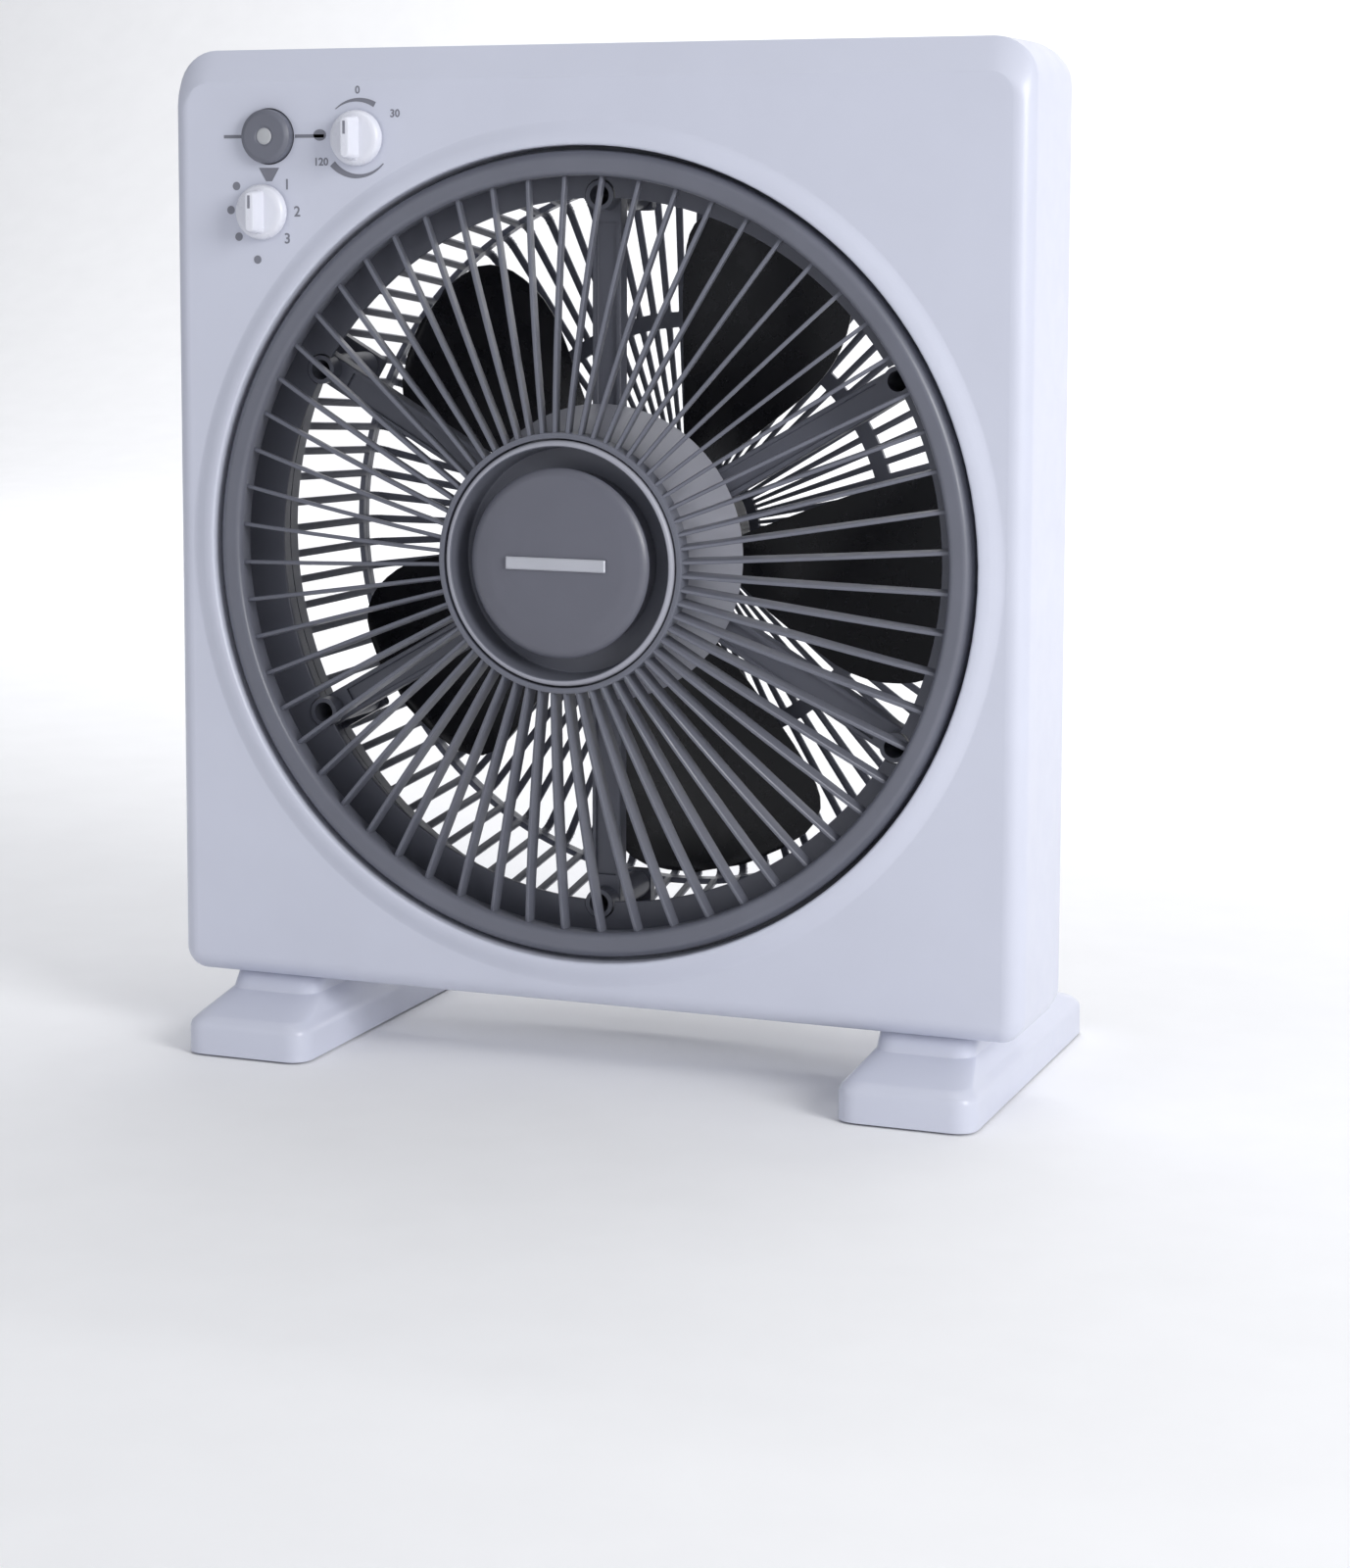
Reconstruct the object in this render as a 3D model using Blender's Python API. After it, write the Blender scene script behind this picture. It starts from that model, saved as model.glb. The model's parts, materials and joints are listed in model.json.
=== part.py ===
"""A box fan with a rotating front louvre, modelled piece by piece at its real size.

The fan stands on the plane Z = 0 and faces -Y; +X is its right-hand side seen from the front.
X = 0 is the plane of symmetry, and Y = 0 halves the length of the feet.
All lengths are metres. A depth is measured from the housing's front face towards the back, and
a place on the front is an (x, z) pair measured from the fan's axis.
"""
import math

import bmesh
import bpy
from mathutils import Vector

# ---- driving sizes -------------------------------------------------------------------------
GAP = 0.0003                # clearance that separate pieces keep
BODY_WIDTH = 0.380
BODY_LOW = 0.032            # underside of the housing above the floor
BODY_HIGH = 0.434
FRONT_Y = -0.071            # plane of the housing's front face
AXIS_Z = 0.222              # the fan's axis above the floor
WALL = 0.0025

TOP_CORNER = 0.018          # corner radii of the housing, seen from the front
BOTTOM_CORNER = 0.010
SIDE_ROUND = 0.008          # rounding of the front edge, at the sides and below
TOP_BEVEL = 0.014           # height of the flat bevel that the same edge has along the top
FRONT_DEPTH = 0.055         # depth of the front housing
REAR_DEPTH = 0.072          # depth of the rear housing's back face

RING_RADIUS = 0.1685        # outer radius of the louvre
OPENING_RADIUS = 0.1705     # housing opening around it
COLLAR_RADIUS = 0.181       # foot of the raised collar around the opening
COLLAR_RISE = 0.0025        # how far the collar's crest stands in front of the face
LIP_DEPTH = 0.012

VANES = 60
GUARD_BARS = 60
BAR_SHARE = 0.34            # width of a guard bar as a share of the bars' spacing
ARMS = 6
BLADES = 5
DUCT_RADIUS = 0.1705
DUCT_WALL = 0.0025
FLANGE_RADIUS = 0.178
DUCT_BACK = 0.066           # depth where the duct ring ends and the guard begins
GUARD_BACK = 0.1325         # depth of the guard's flat back
GUARD_END = 0.160           # radius that the guard's wall narrows to
COVER_RADIUS = 0.149        # inner edge of the duct's cover, a flat ring behind the louvre
COVER_FRONT = 0.0225
ARM_FRONT = 0.030           # depth of the spider's front
ARM_WIDTH = 0.013
POST_RADIUS = 0.150         # distance of the spider's screw posts from the axis
BLADE_TIP = 0.149
BLADE_DEPTH = 0.092         # depth of the rotor's middle plane
MOTOR_RADIUS = 0.043
SHAFT_RADIUS = 0.004

BUTTON_AT = (-0.143, 0.175)
TIMER_AT = (-0.101, 0.174)
SPEED_AT = (-0.146, 0.143)
BRACKET_DEPTH = 0.012
BUTTON_TRAVEL = 0.003

FOOT_CENTRE = 0.148         # distance of each foot's middle from X = 0
FOOT_WIDTH = 0.058
FOOT_LENGTH = 0.188
PAD_HEIGHT = 0.0010         # how far the rubber pads hold the feet off the floor

ON_AXIS = (0.0, FRONT_Y, AXIS_Z)

LOOKS = {                   # colour, roughness, metallic
    "housing_white": ((0.62, 0.62, 0.74), 0.38, 0.0),
    "louvre_grey": ((0.105, 0.110, 0.140), 0.42, 0.0),
    "hub_grey": ((0.165, 0.165, 0.205), 0.40, 0.0),
    "badge_silver": ((0.62, 0.63, 0.68), 0.30, 0.6),
    "blade_black": ((0.018, 0.018, 0.022), 0.35, 0.0),
    "knob_white": ((0.66, 0.66, 0.74), 0.35, 0.0),
    "steel": ((0.56, 0.56, 0.58), 0.35, 1.0),
    "zinc_shell": ((0.48, 0.49, 0.50), 0.45, 0.9),
    "lamination": ((0.17, 0.17, 0.18), 0.50, 0.8),
    "copper": ((0.56, 0.22, 0.09), 0.40, 0.9),
    "bronze": ((0.50, 0.33, 0.13), 0.45, 0.9),
    "switch_black": ((0.03, 0.03, 0.03), 0.50, 0.0),
    "rubber": ((0.02, 0.02, 0.02), 0.80, 0.0),
}


# ---- modelling tools -----------------------------------------------------------------------
def look(name):
    """The Principled material of that name, made once."""
    material = bpy.data.materials.get(name)
    if material is None:
        colour, roughness, metallic = LOOKS[name]
        material = bpy.data.materials.new(name)
        material.use_nodes = True
        shader = material.node_tree.nodes["Principled BSDF"]
        shader.inputs["Base Color"].default_value = (*colour, 1.0)
        shader.inputs["Roughness"].default_value = roughness
        shader.inputs["Metallic"].default_value = metallic
    return material


def add_object(name, bm, finish, location=(0.0, 0.0, 0.0), upright=False):
    """Turn a bmesh into a linked object; upright turns its local Y axis to +Z."""
    bmesh.ops.recalc_face_normals(bm, faces=bm.faces)
    mesh = bpy.data.meshes.new(name)
    bm.to_mesh(mesh)
    bm.free()
    mesh.shade_smooth()
    mesh.set_sharp_from_angle(angle=math.radians(35))
    mesh.materials.append(look(finish))
    piece = bpy.data.objects.new(name, mesh)
    piece.location = location
    if upright:
        piece.rotation_euler.x = math.radians(90)
    bpy.context.scene.collection.objects.link(piece)
    return piece


def add_face(bm, corners):
    """A face through the corners, leaving out repeated ones."""
    different = list(dict.fromkeys(corners))
    if len(different) > 2:
        bm.faces.new(different)


def skin(bm, loops, wrap):
    """Join loops of equally many points; wrap closes last to first, otherwise both ends are capped."""
    rows = []
    for loop in loops:
        if (loop[0] - loop[len(loop) // 2]).length < 1e-9:
            rows.append([bm.verts.new(loop[0])] * len(loop))
        else:
            rows.append([bm.verts.new(point) for point in loop])
    followers = rows[1:] + rows[:1] if wrap else rows[1:]
    for near, far in zip(rows, followers):
        for i in range(len(near)):
            add_face(bm, (near[i - 1], near[i], far[i], far[i - 1]))
    if not wrap:
        add_face(bm, rows[0])
        add_face(bm, rows[-1])


def thick_sheet(bm, outer, inner, kept, wrap):
    """A sheet between two grids of vertices; kept(row, column) says which cells are material."""
    row_count = len(outer) - 1
    column_count = len(outer[0]) if wrap else len(outer[0]) - 1

    def solid(row, column):
        if wrap:
            column %= column_count
        inside = 0 <= row < row_count and 0 <= column < column_count
        return inside and kept(row, column)

    for row in range(row_count):
        for column in range(column_count):
            if not solid(row, column):
                continue
            after = (column + 1) % len(outer[0])
            cell = ((row, column), (row, after), (row + 1, after), (row + 1, column))
            beyond = (solid(row - 1, column), solid(row, column + 1),
                      solid(row + 1, column), solid(row, column - 1))
            add_face(bm, [outer[j][i] for j, i in cell])
            add_face(bm, [inner[j][i] for j, i in cell])
            for side in range(4):
                (j, i), (n, m) = cell[side], cell[(side + 1) % 4]
                if not beyond[side]:
                    add_face(bm, (outer[j][i], outer[n][m], inner[n][m], inner[j][i]))


def polar(radius, depth, angle, place=(0.0, 0.0)):
    """A point at a radius and angle (radians, from +X towards +Z) around a place."""
    return Vector((place[0] + radius * math.cos(angle), depth, place[1] + radius * math.sin(angle)))


def circle(radius, depth, sides, place=(0.0, 0.0)):
    return [polar(radius, depth, math.tau * i / sides, place) for i in range(sides)]


def add_turned(bm, profile, sides, place=(0.0, 0.0)):
    """Revolve a closed outline of (radius, depth) points about the depth axis."""
    skin(bm, [circle(radius, depth, sides, place) for radius, depth in profile], wrap=True)


def turned(name, profile, finish, sides=32, location=ON_AXIS, upright=False):
    bm = bmesh.new()
    add_turned(bm, profile, sides)
    return add_object(name, bm, finish, location, upright)


def add_box(bm, low, high):
    (x0, y0, z0), (x1, y1, z1) = low, high
    base = [Vector((x, y0, z)) for x, z in ((x0, z0), (x1, z0), (x1, z1), (x0, z1))]
    skin(bm, [base, [Vector((p.x, y1, p.z)) for p in base]], wrap=False)


def block(name, low, high, finish, location=ON_AXIS):
    bm = bmesh.new()
    add_box(bm, low, high)
    return add_object(name, bm, finish, location)


def combine(target, bm, operation, location=ON_AXIS, upright=False):
    """Add the bmesh's bodies to the target or cut them out of it, with a Boolean."""
    tool = add_object(target.name + "_tool", bm, "steel", location, upright)
    tool.hide_render = True
    tool.display_type = "WIRE"
    modifier = target.modifiers.new(operation.title(), "BOOLEAN")
    modifier.operation = operation
    modifier.solver = "EXACT"
    modifier.object = tool


def rods(places, radius, front, back, sides=8):
    """A bmesh of cylinders along the depth axis, one at each place."""
    bm = bmesh.new()
    for place in places:
        skin(bm, [circle(radius, front, sides, place), circle(radius, back, sides, place)], wrap=False)
    return bm


def around(count, radius, first_degrees):
    """Evenly spaced places on a circle around the axis."""
    angles = [math.radians(first_degrees + 360 * i / count) for i in range(count)]
    return [(radius * math.cos(angle), radius * math.sin(angle)) for angle in angles]


def screw(name, place, head_front, tip, head_radius=0.0036, shank_radius=0.0016, head_height=0.0022):
    """A screw along the depth axis; its tip may lie in front of its head or behind it."""
    under = head_front + math.copysign(head_height, tip - head_front)
    profile = ((0.0, head_front), (head_radius, head_front), (head_radius, under),
               (shank_radius, under), (shank_radius, tip), (0.0, tip))
    return turned(name, profile, "steel", 8, (place[0], FRONT_Y, AXIS_Z + place[1]))


# ---- housing -------------------------------------------------------------------------------
SIDE_STEPS = 12             # stretches along each side of the housing's outline
CORNER_STEPS = 3            # stretches around each of its corners


def housing_outline(side_inset, top_inset, depth):
    """The housing's rounded outline around the axis, drawn in from its sides and its top."""
    half = BODY_WIDTH / 2 - side_inset
    low = BODY_LOW - AXIS_Z + side_inset
    high = BODY_HIGH - AXIS_Z - top_inset
    corners = ((half, high, TOP_CORNER), (-half, high, TOP_CORNER),
               (-half, low, BOTTOM_CORNER), (half, low, BOTTOM_CORNER))
    arcs = []
    for quarter, (x, z, radius) in enumerate(corners):
        radius = max(radius - side_inset, 0.002)
        centre = (x - math.copysign(radius, x), z - math.copysign(radius, z))
        turns = [quarter + step / CORNER_STEPS for step in range(CORNER_STEPS + 1)]
        arcs.append([polar(radius, depth, turn * math.pi / 2, centre) for turn in turns])
    outline = []
    for arc, following in zip(arcs, arcs[1:] + arcs[:1]):
        outline += arc
        shares = [step / SIDE_STEPS for step in range(1, SIDE_STEPS)]
        outline += [arc[-1].lerp(following[0], share) for share in shares]
    return outline


def ring_in_outline(radius, depth):
    """A circle with one point for each point of the housing's outline, at the same angle."""
    flat = housing_outline(SIDE_ROUND, TOP_BEVEL, 0.0)
    return [polar(radius, depth, math.atan2(point.z, point.x)) for point in flat]


def front_edge(inset, steps):
    """Outlines that round the front edge and bevel its top, for a surface lying inset inside."""
    outlines = []
    for step in range(steps + 1):
        turn = math.pi / 2 * step / steps
        side = inset + (SIDE_ROUND - inset) * (1 - math.sin(turn))
        top = inset + (TOP_BEVEL - inset) * math.cos(turn)
        depth = inset + (SIDE_ROUND - inset) * (1 - math.cos(turn))
        outlines.append(housing_outline(side, top, depth))
    return outlines


SCREW_CORNERS = [(side * 0.173, z) for side in (-1, 1) for z in (-0.172, 0.190)]
FOOT_SCREWS = [(side * FOOT_CENTRE, 0.033) for side in (-1, 1)]
HANDLE_HALF = 0.048
HANDLE_FRONT, HANDLE_BACK = 0.021, 0.043


def make_front_housing():
    outside = front_edge(0.0, 3) + [housing_outline(0.0, 0.0, FRONT_DEPTH)]
    inside = [housing_outline(WALL, WALL, FRONT_DEPTH)] + front_edge(WALL, 2)[::-1]
    lip_back = [ring_in_outline(COLLAR_RADIUS, WALL), ring_in_outline(OPENING_RADIUS + WALL, 0.001),
                ring_in_outline(OPENING_RADIUS + WALL, LIP_DEPTH)]
    lip_front = [ring_in_outline(OPENING_RADIUS, LIP_DEPTH), ring_in_outline(OPENING_RADIUS, -0.0015),
                 ring_in_outline(OPENING_RADIUS + 0.001, -COLLAR_RISE), ring_in_outline(0.1745, -0.0018),
                 ring_in_outline(COLLAR_RADIUS, 0.0)]
    bm = bmesh.new()
    skin(bm, outside + inside + lip_back + lip_front, wrap=True)
    housing = add_object("front_housing", bm, "housing_white", ON_AXIS)

    combine(housing, rods(SCREW_CORNERS, 0.0045, 0.0015, 0.067), "UNION")
    combine(housing, rods(SCREW_CORNERS, 0.0021, 0.045, 0.070), "DIFFERENCE")
    for side, depth in FOOT_SCREWS:
        place = (side, FRONT_Y + depth, BODY_LOW)
        combine(housing, rods([(0, 0)], 0.005, 0.001, 0.014), "UNION", place, upright=True)
        combine(housing, rods([(0, 0)], 0.0019, -0.004, 0.012), "DIFFERENCE", place, upright=True)
    combine(housing, rods([BUTTON_AT], 0.012, -0.01, 0.01, 20), "DIFFERENCE")
    combine(housing, rods([TIMER_AT, SPEED_AT], 0.004, -0.01, 0.01), "DIFFERENCE")
    slot = bmesh.new()
    top = BODY_HIGH - AXIS_Z
    add_box(slot, (-HANDLE_HALF, HANDLE_FRONT, top - 0.01), (HANDLE_HALF, HANDLE_BACK, top + 0.01))
    combine(housing, slot, "DIFFERENCE")


GLAND_AT = (-0.150, -0.160)


def make_rear_housing():
    rim = FRONT_DEPTH + GAP
    back = REAR_DEPTH
    outside = [housing_outline(0.001, 0.001, rim), housing_outline(0.001, 0.001, back - 0.007),
               housing_outline(0.0032, 0.0032, back - 0.002), housing_outline(0.009, 0.009, back)]
    opening = [ring_in_outline(DUCT_RADIUS + 0.002, depth) for depth in (back, back - WALL)]
    inside = [housing_outline(0.010, 0.010, back - WALL), housing_outline(0.0035, 0.0035, back - 0.009),
              housing_outline(0.0035, 0.0035, rim)]
    bm = bmesh.new()
    skin(bm, outside + opening + inside, wrap=True)
    housing = add_object("rear_housing", bm, "housing_white", ON_AXIS)
    combine(housing, rods(SCREW_CORNERS, 0.0022, 0.06, 0.08), "DIFFERENCE")
    combine(housing, rods([GLAND_AT], 0.0066, 0.06, 0.08, 12), "DIFFERENCE")


def make_carry_handle():
    """A pocket under the opening in the top, undercut at its front so that fingers can hold on."""
    top = BODY_HIGH - AXIS_Z - WALL - GAP
    low, high = (-0.052, 0.0125, top - 0.026), (0.052, 0.047, top)
    pocket = block("carry_handle", low, high, "housing_white")
    hollow = bmesh.new()
    add_box(hollow, (-0.050, 0.0145, top - 0.024), (0.050, 0.045, top - 0.002))
    combine(pocket, hollow, "DIFFERENCE")
    mouth = bmesh.new()
    add_box(mouth, (-HANDLE_HALF, HANDLE_FRONT, top - 0.01), (HANDLE_HALF, HANDLE_BACK, top + 0.01))
    combine(pocket, mouth, "DIFFERENCE")


def make_cord_gland():
    back = REAR_DEPTH
    profile = ((0.0035, back - 0.005), (0.0060, back - 0.005), (0.0060, back + GAP),
               (0.0085, back + GAP), (0.0070, back + 0.004), (0.0035, back + 0.004))
    place = (GLAND_AT[0], FRONT_Y, AXIS_Z + GLAND_AT[1])
    turned("cord_gland", profile, "rubber", 12, place)


# ---- duct, spider and guard ----------------------------------------------------------------
POSTS = around(ARMS, POST_RADIUS, 30)


def make_duct_ring():
    """A flanged tube with a flat cover inside it, notched for the spider's posts."""
    inner = DUCT_RADIUS - DUCT_WALL
    front = LIP_DEPTH + GAP
    profile = ((inner, front), (0.176, front), (0.176, front + 0.002), (DUCT_RADIUS, front + 0.002),
               (DUCT_RADIUS, DUCT_BACK - 0.0025), (FLANGE_RADIUS, DUCT_BACK - 0.0025),
               (FLANGE_RADIUS, DUCT_BACK), (inner, DUCT_BACK), (inner, COVER_FRONT + 0.002),
               (COVER_RADIUS, COVER_FRONT + 0.002), (COVER_RADIUS, COVER_FRONT), (inner, COVER_FRONT))
    duct = turned("duct_ring", profile, "louvre_grey", 48)
    combine(duct, rods(POSTS, 0.0068, COVER_FRONT - 0.002, COVER_FRONT + 0.004), "DIFFERENCE")


MOTOR_SCREWS = around(3, 0.030, 90)
WELL_DEPTH = 0.050          # floor of the screw wells in the posts


def make_motor_spider():
    plate = ((0.0, ARM_FRONT), (0.046, ARM_FRONT), (0.046, ARM_FRONT + 0.004), (0.0, ARM_FRONT + 0.004))
    spider = turned("motor_spider", plate, "louvre_grey", 36)
    arms = bmesh.new()
    end = DUCT_RADIUS - DUCT_WALL - 0.0006
    for arm in range(ARMS):
        angle = math.radians(30 + 360 * arm / ARMS)
        along = Vector((math.cos(angle), 0.0, math.sin(angle)))
        across = Vector((-math.sin(angle), 0.0, math.cos(angle))) * ARM_WIDTH / 2
        section = [across, -across]
        loops = []
        for reach in (0.0445, end):
            low, high = [along * reach + side for side in section]
            down = Vector((0.0, 0.008, 0.0))
            face = Vector((0.0, ARM_FRONT - 0.0004, 0.0))
            loops.append([low + face, high + face, high + face + down, low + face + down])
        skin(arms, loops, wrap=False)
    combine(spider, arms, "UNION")
    combine(spider, rods(POSTS, 0.0062, COVER_FRONT - 0.001, DUCT_BACK), "UNION")
    combine(spider, rods(POSTS, 0.0043, COVER_FRONT - 0.003, WELL_DEPTH), "DIFFERENCE")
    combine(spider, rods(POSTS, 0.0019, 0.045, 0.070), "DIFFERENCE")
    combine(spider, rods(MOTOR_SCREWS, 0.0022, ARM_FRONT - 0.002, 0.040), "DIFFERENCE")


def make_barred_shell(name, stations):
    """A shell turned from stations, with slots between the bars after each one marked as slotted."""
    pitch = math.tau / GUARD_BARS
    angles = []
    for bar in range(GUARD_BARS):
        angles += [(bar - BAR_SHARE / 2) * pitch, (bar + BAR_SHARE / 2) * pitch]
    bm = bmesh.new()
    grids = []
    for surface in (0, 1):
        grid = []
        for station in stations:
            radius, depth = station[surface]
            if radius:
                grid.append([bm.verts.new(polar(radius, depth, angle)) for angle in angles])
            else:
                grid.append([bm.verts.new((0.0, depth, 0.0))] * len(angles))
        grids.append(grid)
    thick_sheet(bm, *grids, kept=lambda row, column: column % 2 == 0 or not stations[row][2], wrap=True)
    return add_object(name, bm, "louvre_grey", ON_AXIS)


def make_rear_guard():
    """A drum of bars in two pieces: a flanged wall, and a grid that closes its back."""
    front = DUCT_BACK + GAP
    back = GUARD_BACK
    thick = DUCT_WALL
    outside = DUCT_RADIUS
    inside = DUCT_RADIUS - thick
    end = GUARD_END
    split = back - 0.009
    wall = make_barred_shell("rear_guard_wall", (   # outer and inner (radius, depth), slotted
        ((FLANGE_RADIUS, front + thick), (FLANGE_RADIUS, front), False),
        ((outside, front + thick), (inside, front), True),
        ((end, split - 0.003), (end - thick, split - 0.003), False),
        ((end, split), (end - thick, split), False)))
    make_barred_shell("rear_guard_grid", (
        ((end, split + GAP), (end - thick, split + GAP), False),
        ((end, back - 0.006), (end - thick, back - 0.0065), True),
        ((end - 0.006, back), (end - 0.007, back - thick), True),
        ((0.098, back), (0.098, back - thick), False),
        ((0.092, back), (0.092, back - thick), True),
        ((0.034, back), (0.034, back - thick), False),
        ((0.0, back), (0.0, back - thick), False)))

    lugs = bmesh.new()
    for place in around(ARMS, 1.0, 30):
        along = Vector((place[0], 0.0, place[1]))
        across = Vector((-place[1], 0.0, place[0])) * ARM_WIDTH / 2
        loops = []
        for depth in (front + 0.0004, front + 0.005):
            base = Vector((0.0, depth, 0.0))
            loops.append([base + along * reach + across * side
                          for reach, side in ((0.1435, -1), (0.1685, -1), (0.1685, 1), (0.1435, 1))])
        skin(lugs, loops, wrap=False)
    combine(wall, lugs, "UNION")
    combine(wall, rods(POSTS, 0.0019, front - 0.002, front + 0.008), "DIFFERENCE")


# ---- motor and rotor -----------------------------------------------------------------------
MOTOR_FRONT = ARM_FRONT + 0.004 + GAP
MOTOR_SPLIT = 0.057
MOTOR_BACK = 0.079
SHELL = 0.0015


def make_motor_shell(name, end, split):
    """One half of the motor's casing: a cup with the seat of its bearing; end is its closed side."""
    inward = math.copysign(1.0, split - end)
    wall = end + inward * SHELL
    seat = end + inward * 0.0115
    profile = ((0.0046, end), (MOTOR_RADIUS - 0.004, end), (MOTOR_RADIUS, end + inward * 0.004),
               (MOTOR_RADIUS, split), (MOTOR_RADIUS - SHELL, split),
               (MOTOR_RADIUS - SHELL, end + inward * 0.0045), (MOTOR_RADIUS - 0.0045, wall),
               (0.0105, wall), (0.0105, seat), (0.0092, seat), (0.0092, wall), (0.0046, wall))
    return turned(name, profile, "zinc_shell", 20)


def make_motor():
    front = make_motor_shell("motor_front_shell", MOTOR_FRONT, MOTOR_SPLIT)
    combine(front, rods(MOTOR_SCREWS, 0.0019, MOTOR_FRONT - 0.002, MOTOR_FRONT + 0.004), "DIFFERENCE")
    make_motor_shell("motor_rear_shell", MOTOR_BACK, MOTOR_SPLIT + GAP)
    bush = ((SHAFT_RADIUS + GAP, 0.0), (0.0088, 0.0), (0.0088, 0.008), (SHAFT_RADIUS + GAP, 0.008))
    for name, start in (("front_bearing", MOTOR_FRONT + 0.002), ("rear_bearing", MOTOR_BACK - 0.010)):
        turned(name, [(radius, start + depth) for radius, depth in bush], "bronze", 20)

    teeth = 8
    outer, inner = [], []
    for tooth in range(teeth):
        for share, radius in ((0.0, 0.0232), (0.62, 0.0232), (0.66, 0.033), (0.96, 0.033)):
            angle = math.tau * (tooth + share) / teeth
            outer.append(angle)
            inner.append((radius, angle))
    stack_front, stack_back = 0.050, 0.064
    bm = bmesh.new()
    skin(bm, [[polar(0.0405, stack_front, angle) for angle in outer],
              [polar(0.0405, stack_back, angle) for angle in outer],
              [polar(radius, stack_back, angle) for radius, angle in inner],
              [polar(radius, stack_front, angle) for radius, angle in inner]], wrap=True)
    add_object("stator_core", bm, "lamination", ON_AXIS)

    for name, near, far in (("winding_front", stack_front - GAP, stack_front - 0.0085),
                            ("winding_rear", stack_back + GAP, stack_back + 0.0085)):
        middle = (near + far) / 2
        profile = ((0.026, near), (0.036, near), (0.039, middle), (0.036, far), (0.026, far),
                   (0.024, middle))
        turned(name, profile, "copper", 20)

    core = ((SHAFT_RADIUS + GAP, 0.049), (0.0219, 0.049), (0.0219, 0.065), (SHAFT_RADIUS + GAP, 0.065))
    turned("rotor_core", core, "lamination", 20)
    shaft = ((0.0, 0.0368), (SHAFT_RADIUS, 0.0368), (SHAFT_RADIUS, 0.124), (0.0, 0.124))
    turned("motor_shaft", shaft, "steel", 20)
    for number, place in enumerate(MOTOR_SCREWS, 1):
        screw(f"motor_screw_{number}", place, ARM_FRONT - GAP - 0.0018, MOTOR_FRONT + 0.003,
              head_height=0.0018)


BLADE_SPAN = (              # radius, and the degrees from the middle to either edge
    (0.0345, 10.5, 10.5), (0.043, 14, 15), (0.064, 19, 20), (0.098, 21.5, 23), (0.115, 20.5, 23.4),
    (0.130, 17.5, 23), (0.140, 14, 21), (0.146, 9.5, 16), (BLADE_TIP, 4, 10))
BLADE_CHORD = 4             # cells across a blade
BLADE_RISE = 0.015 / 23.5   # depth gained per degree around the axis
BLADE_THICK = 0.0022
FIRST_BLADE = -8.5          # degrees


def make_fan_rotor():
    hub = ((0.036, 0.084), (0.036, 0.114), (0.034, 0.1165), (SHAFT_RADIUS + GAP, 0.1165),
           (SHAFT_RADIUS + GAP, 0.090), (0.009, 0.090), (0.009, 0.1135), (0.033, 0.1135), (0.033, 0.084))
    rotor = turned("fan_rotor", hub, "blade_black", 30)
    blades = bmesh.new()
    for blade in range(BLADES):
        middle = FIRST_BLADE + 360 * blade / BLADES
        sheets = []
        for offset in (-BLADE_THICK / 2, BLADE_THICK / 2):
            sheet = []
            for radius, behind, ahead in BLADE_SPAN:
                row = []
                for step in range(BLADE_CHORD + 1):
                    share = 2 * step / BLADE_CHORD - 1
                    camber = 0.003 * (1 - share * share)
                    turn = share * (ahead if share > 0 else behind)
                    depth = BLADE_DEPTH + BLADE_RISE * turn + camber + offset
                    angle = math.radians(middle + turn)
                    row.append(blades.verts.new(polar(radius, depth, angle)))
                sheet.append(row)
            sheets.append(sheet)
        thick_sheet(blades, *sheets, kept=lambda row, column: True, wrap=False)
    combine(rotor, blades, "UNION")
    nut = ((SHAFT_RADIUS + GAP, 0.1168), (0.012, 0.1168), (0.012, 0.122), (0.008, 0.1268), (0.0, 0.1275),
           (0.0, 0.1246), (SHAFT_RADIUS + GAP, 0.1246))
    turned("rotor_nut", nut, "blade_black", 20)


def make_run_capacitor():
    block("run_capacitor", (0.128, WALL + GAP, -0.176), (0.162, 0.020, -0.150), "switch_black")


# ---- louvre --------------------------------------------------------------------------------
VANE_LINE = ((0.0527, -0.0232, 0.0080), (0.106, -0.0130, 0.0074), (0.1600, 0.0022, 0.0060))
VANE_THICK = 0.0017
VANE_TILT = math.radians(8)


def make_louvre_grille():
    """Slanting vanes between an outer ring and a small ring that sits on the hub."""
    bm = bmesh.new()
    ring = ((0.158, 0.0), (0.158, 0.009), (RING_RADIUS, 0.009), (RING_RADIUS, 0.0015),
            (0.1655, -0.002), (0.160, -0.002))
    add_turned(bm, ring, 40)
    seat = ((0.0513, -0.0238), (0.0537, -0.0238), (0.0540, -0.0150), (0.0513, -0.0150))
    add_turned(bm, seat, 40)
    grille = add_object("louvre_grille", bm, "louvre_grey", ON_AXIS)

    vanes = bmesh.new()
    for vane in range(VANES):
        angle = math.tau * (vane + 0.5) / VANES
        across = Vector((-math.sin(angle), 0.0, math.cos(angle)))
        deep = (Vector((0.0, math.cos(VANE_TILT), 0.0)) + across * math.sin(VANE_TILT))
        thick = (across * math.cos(VANE_TILT) - Vector((0.0, math.sin(VANE_TILT), 0.0))) * VANE_THICK / 2
        loops = []
        for radius, front, depth in VANE_LINE:
            centre = polar(radius, front + depth / 2, angle)
            half = deep * depth / 2
            loops.append([centre + thick + half, centre - thick + half,
                          centre - thick - half, centre + thick - half])
        skin(vanes, loops, wrap=False)
    combine(grille, vanes, "UNION")


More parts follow.
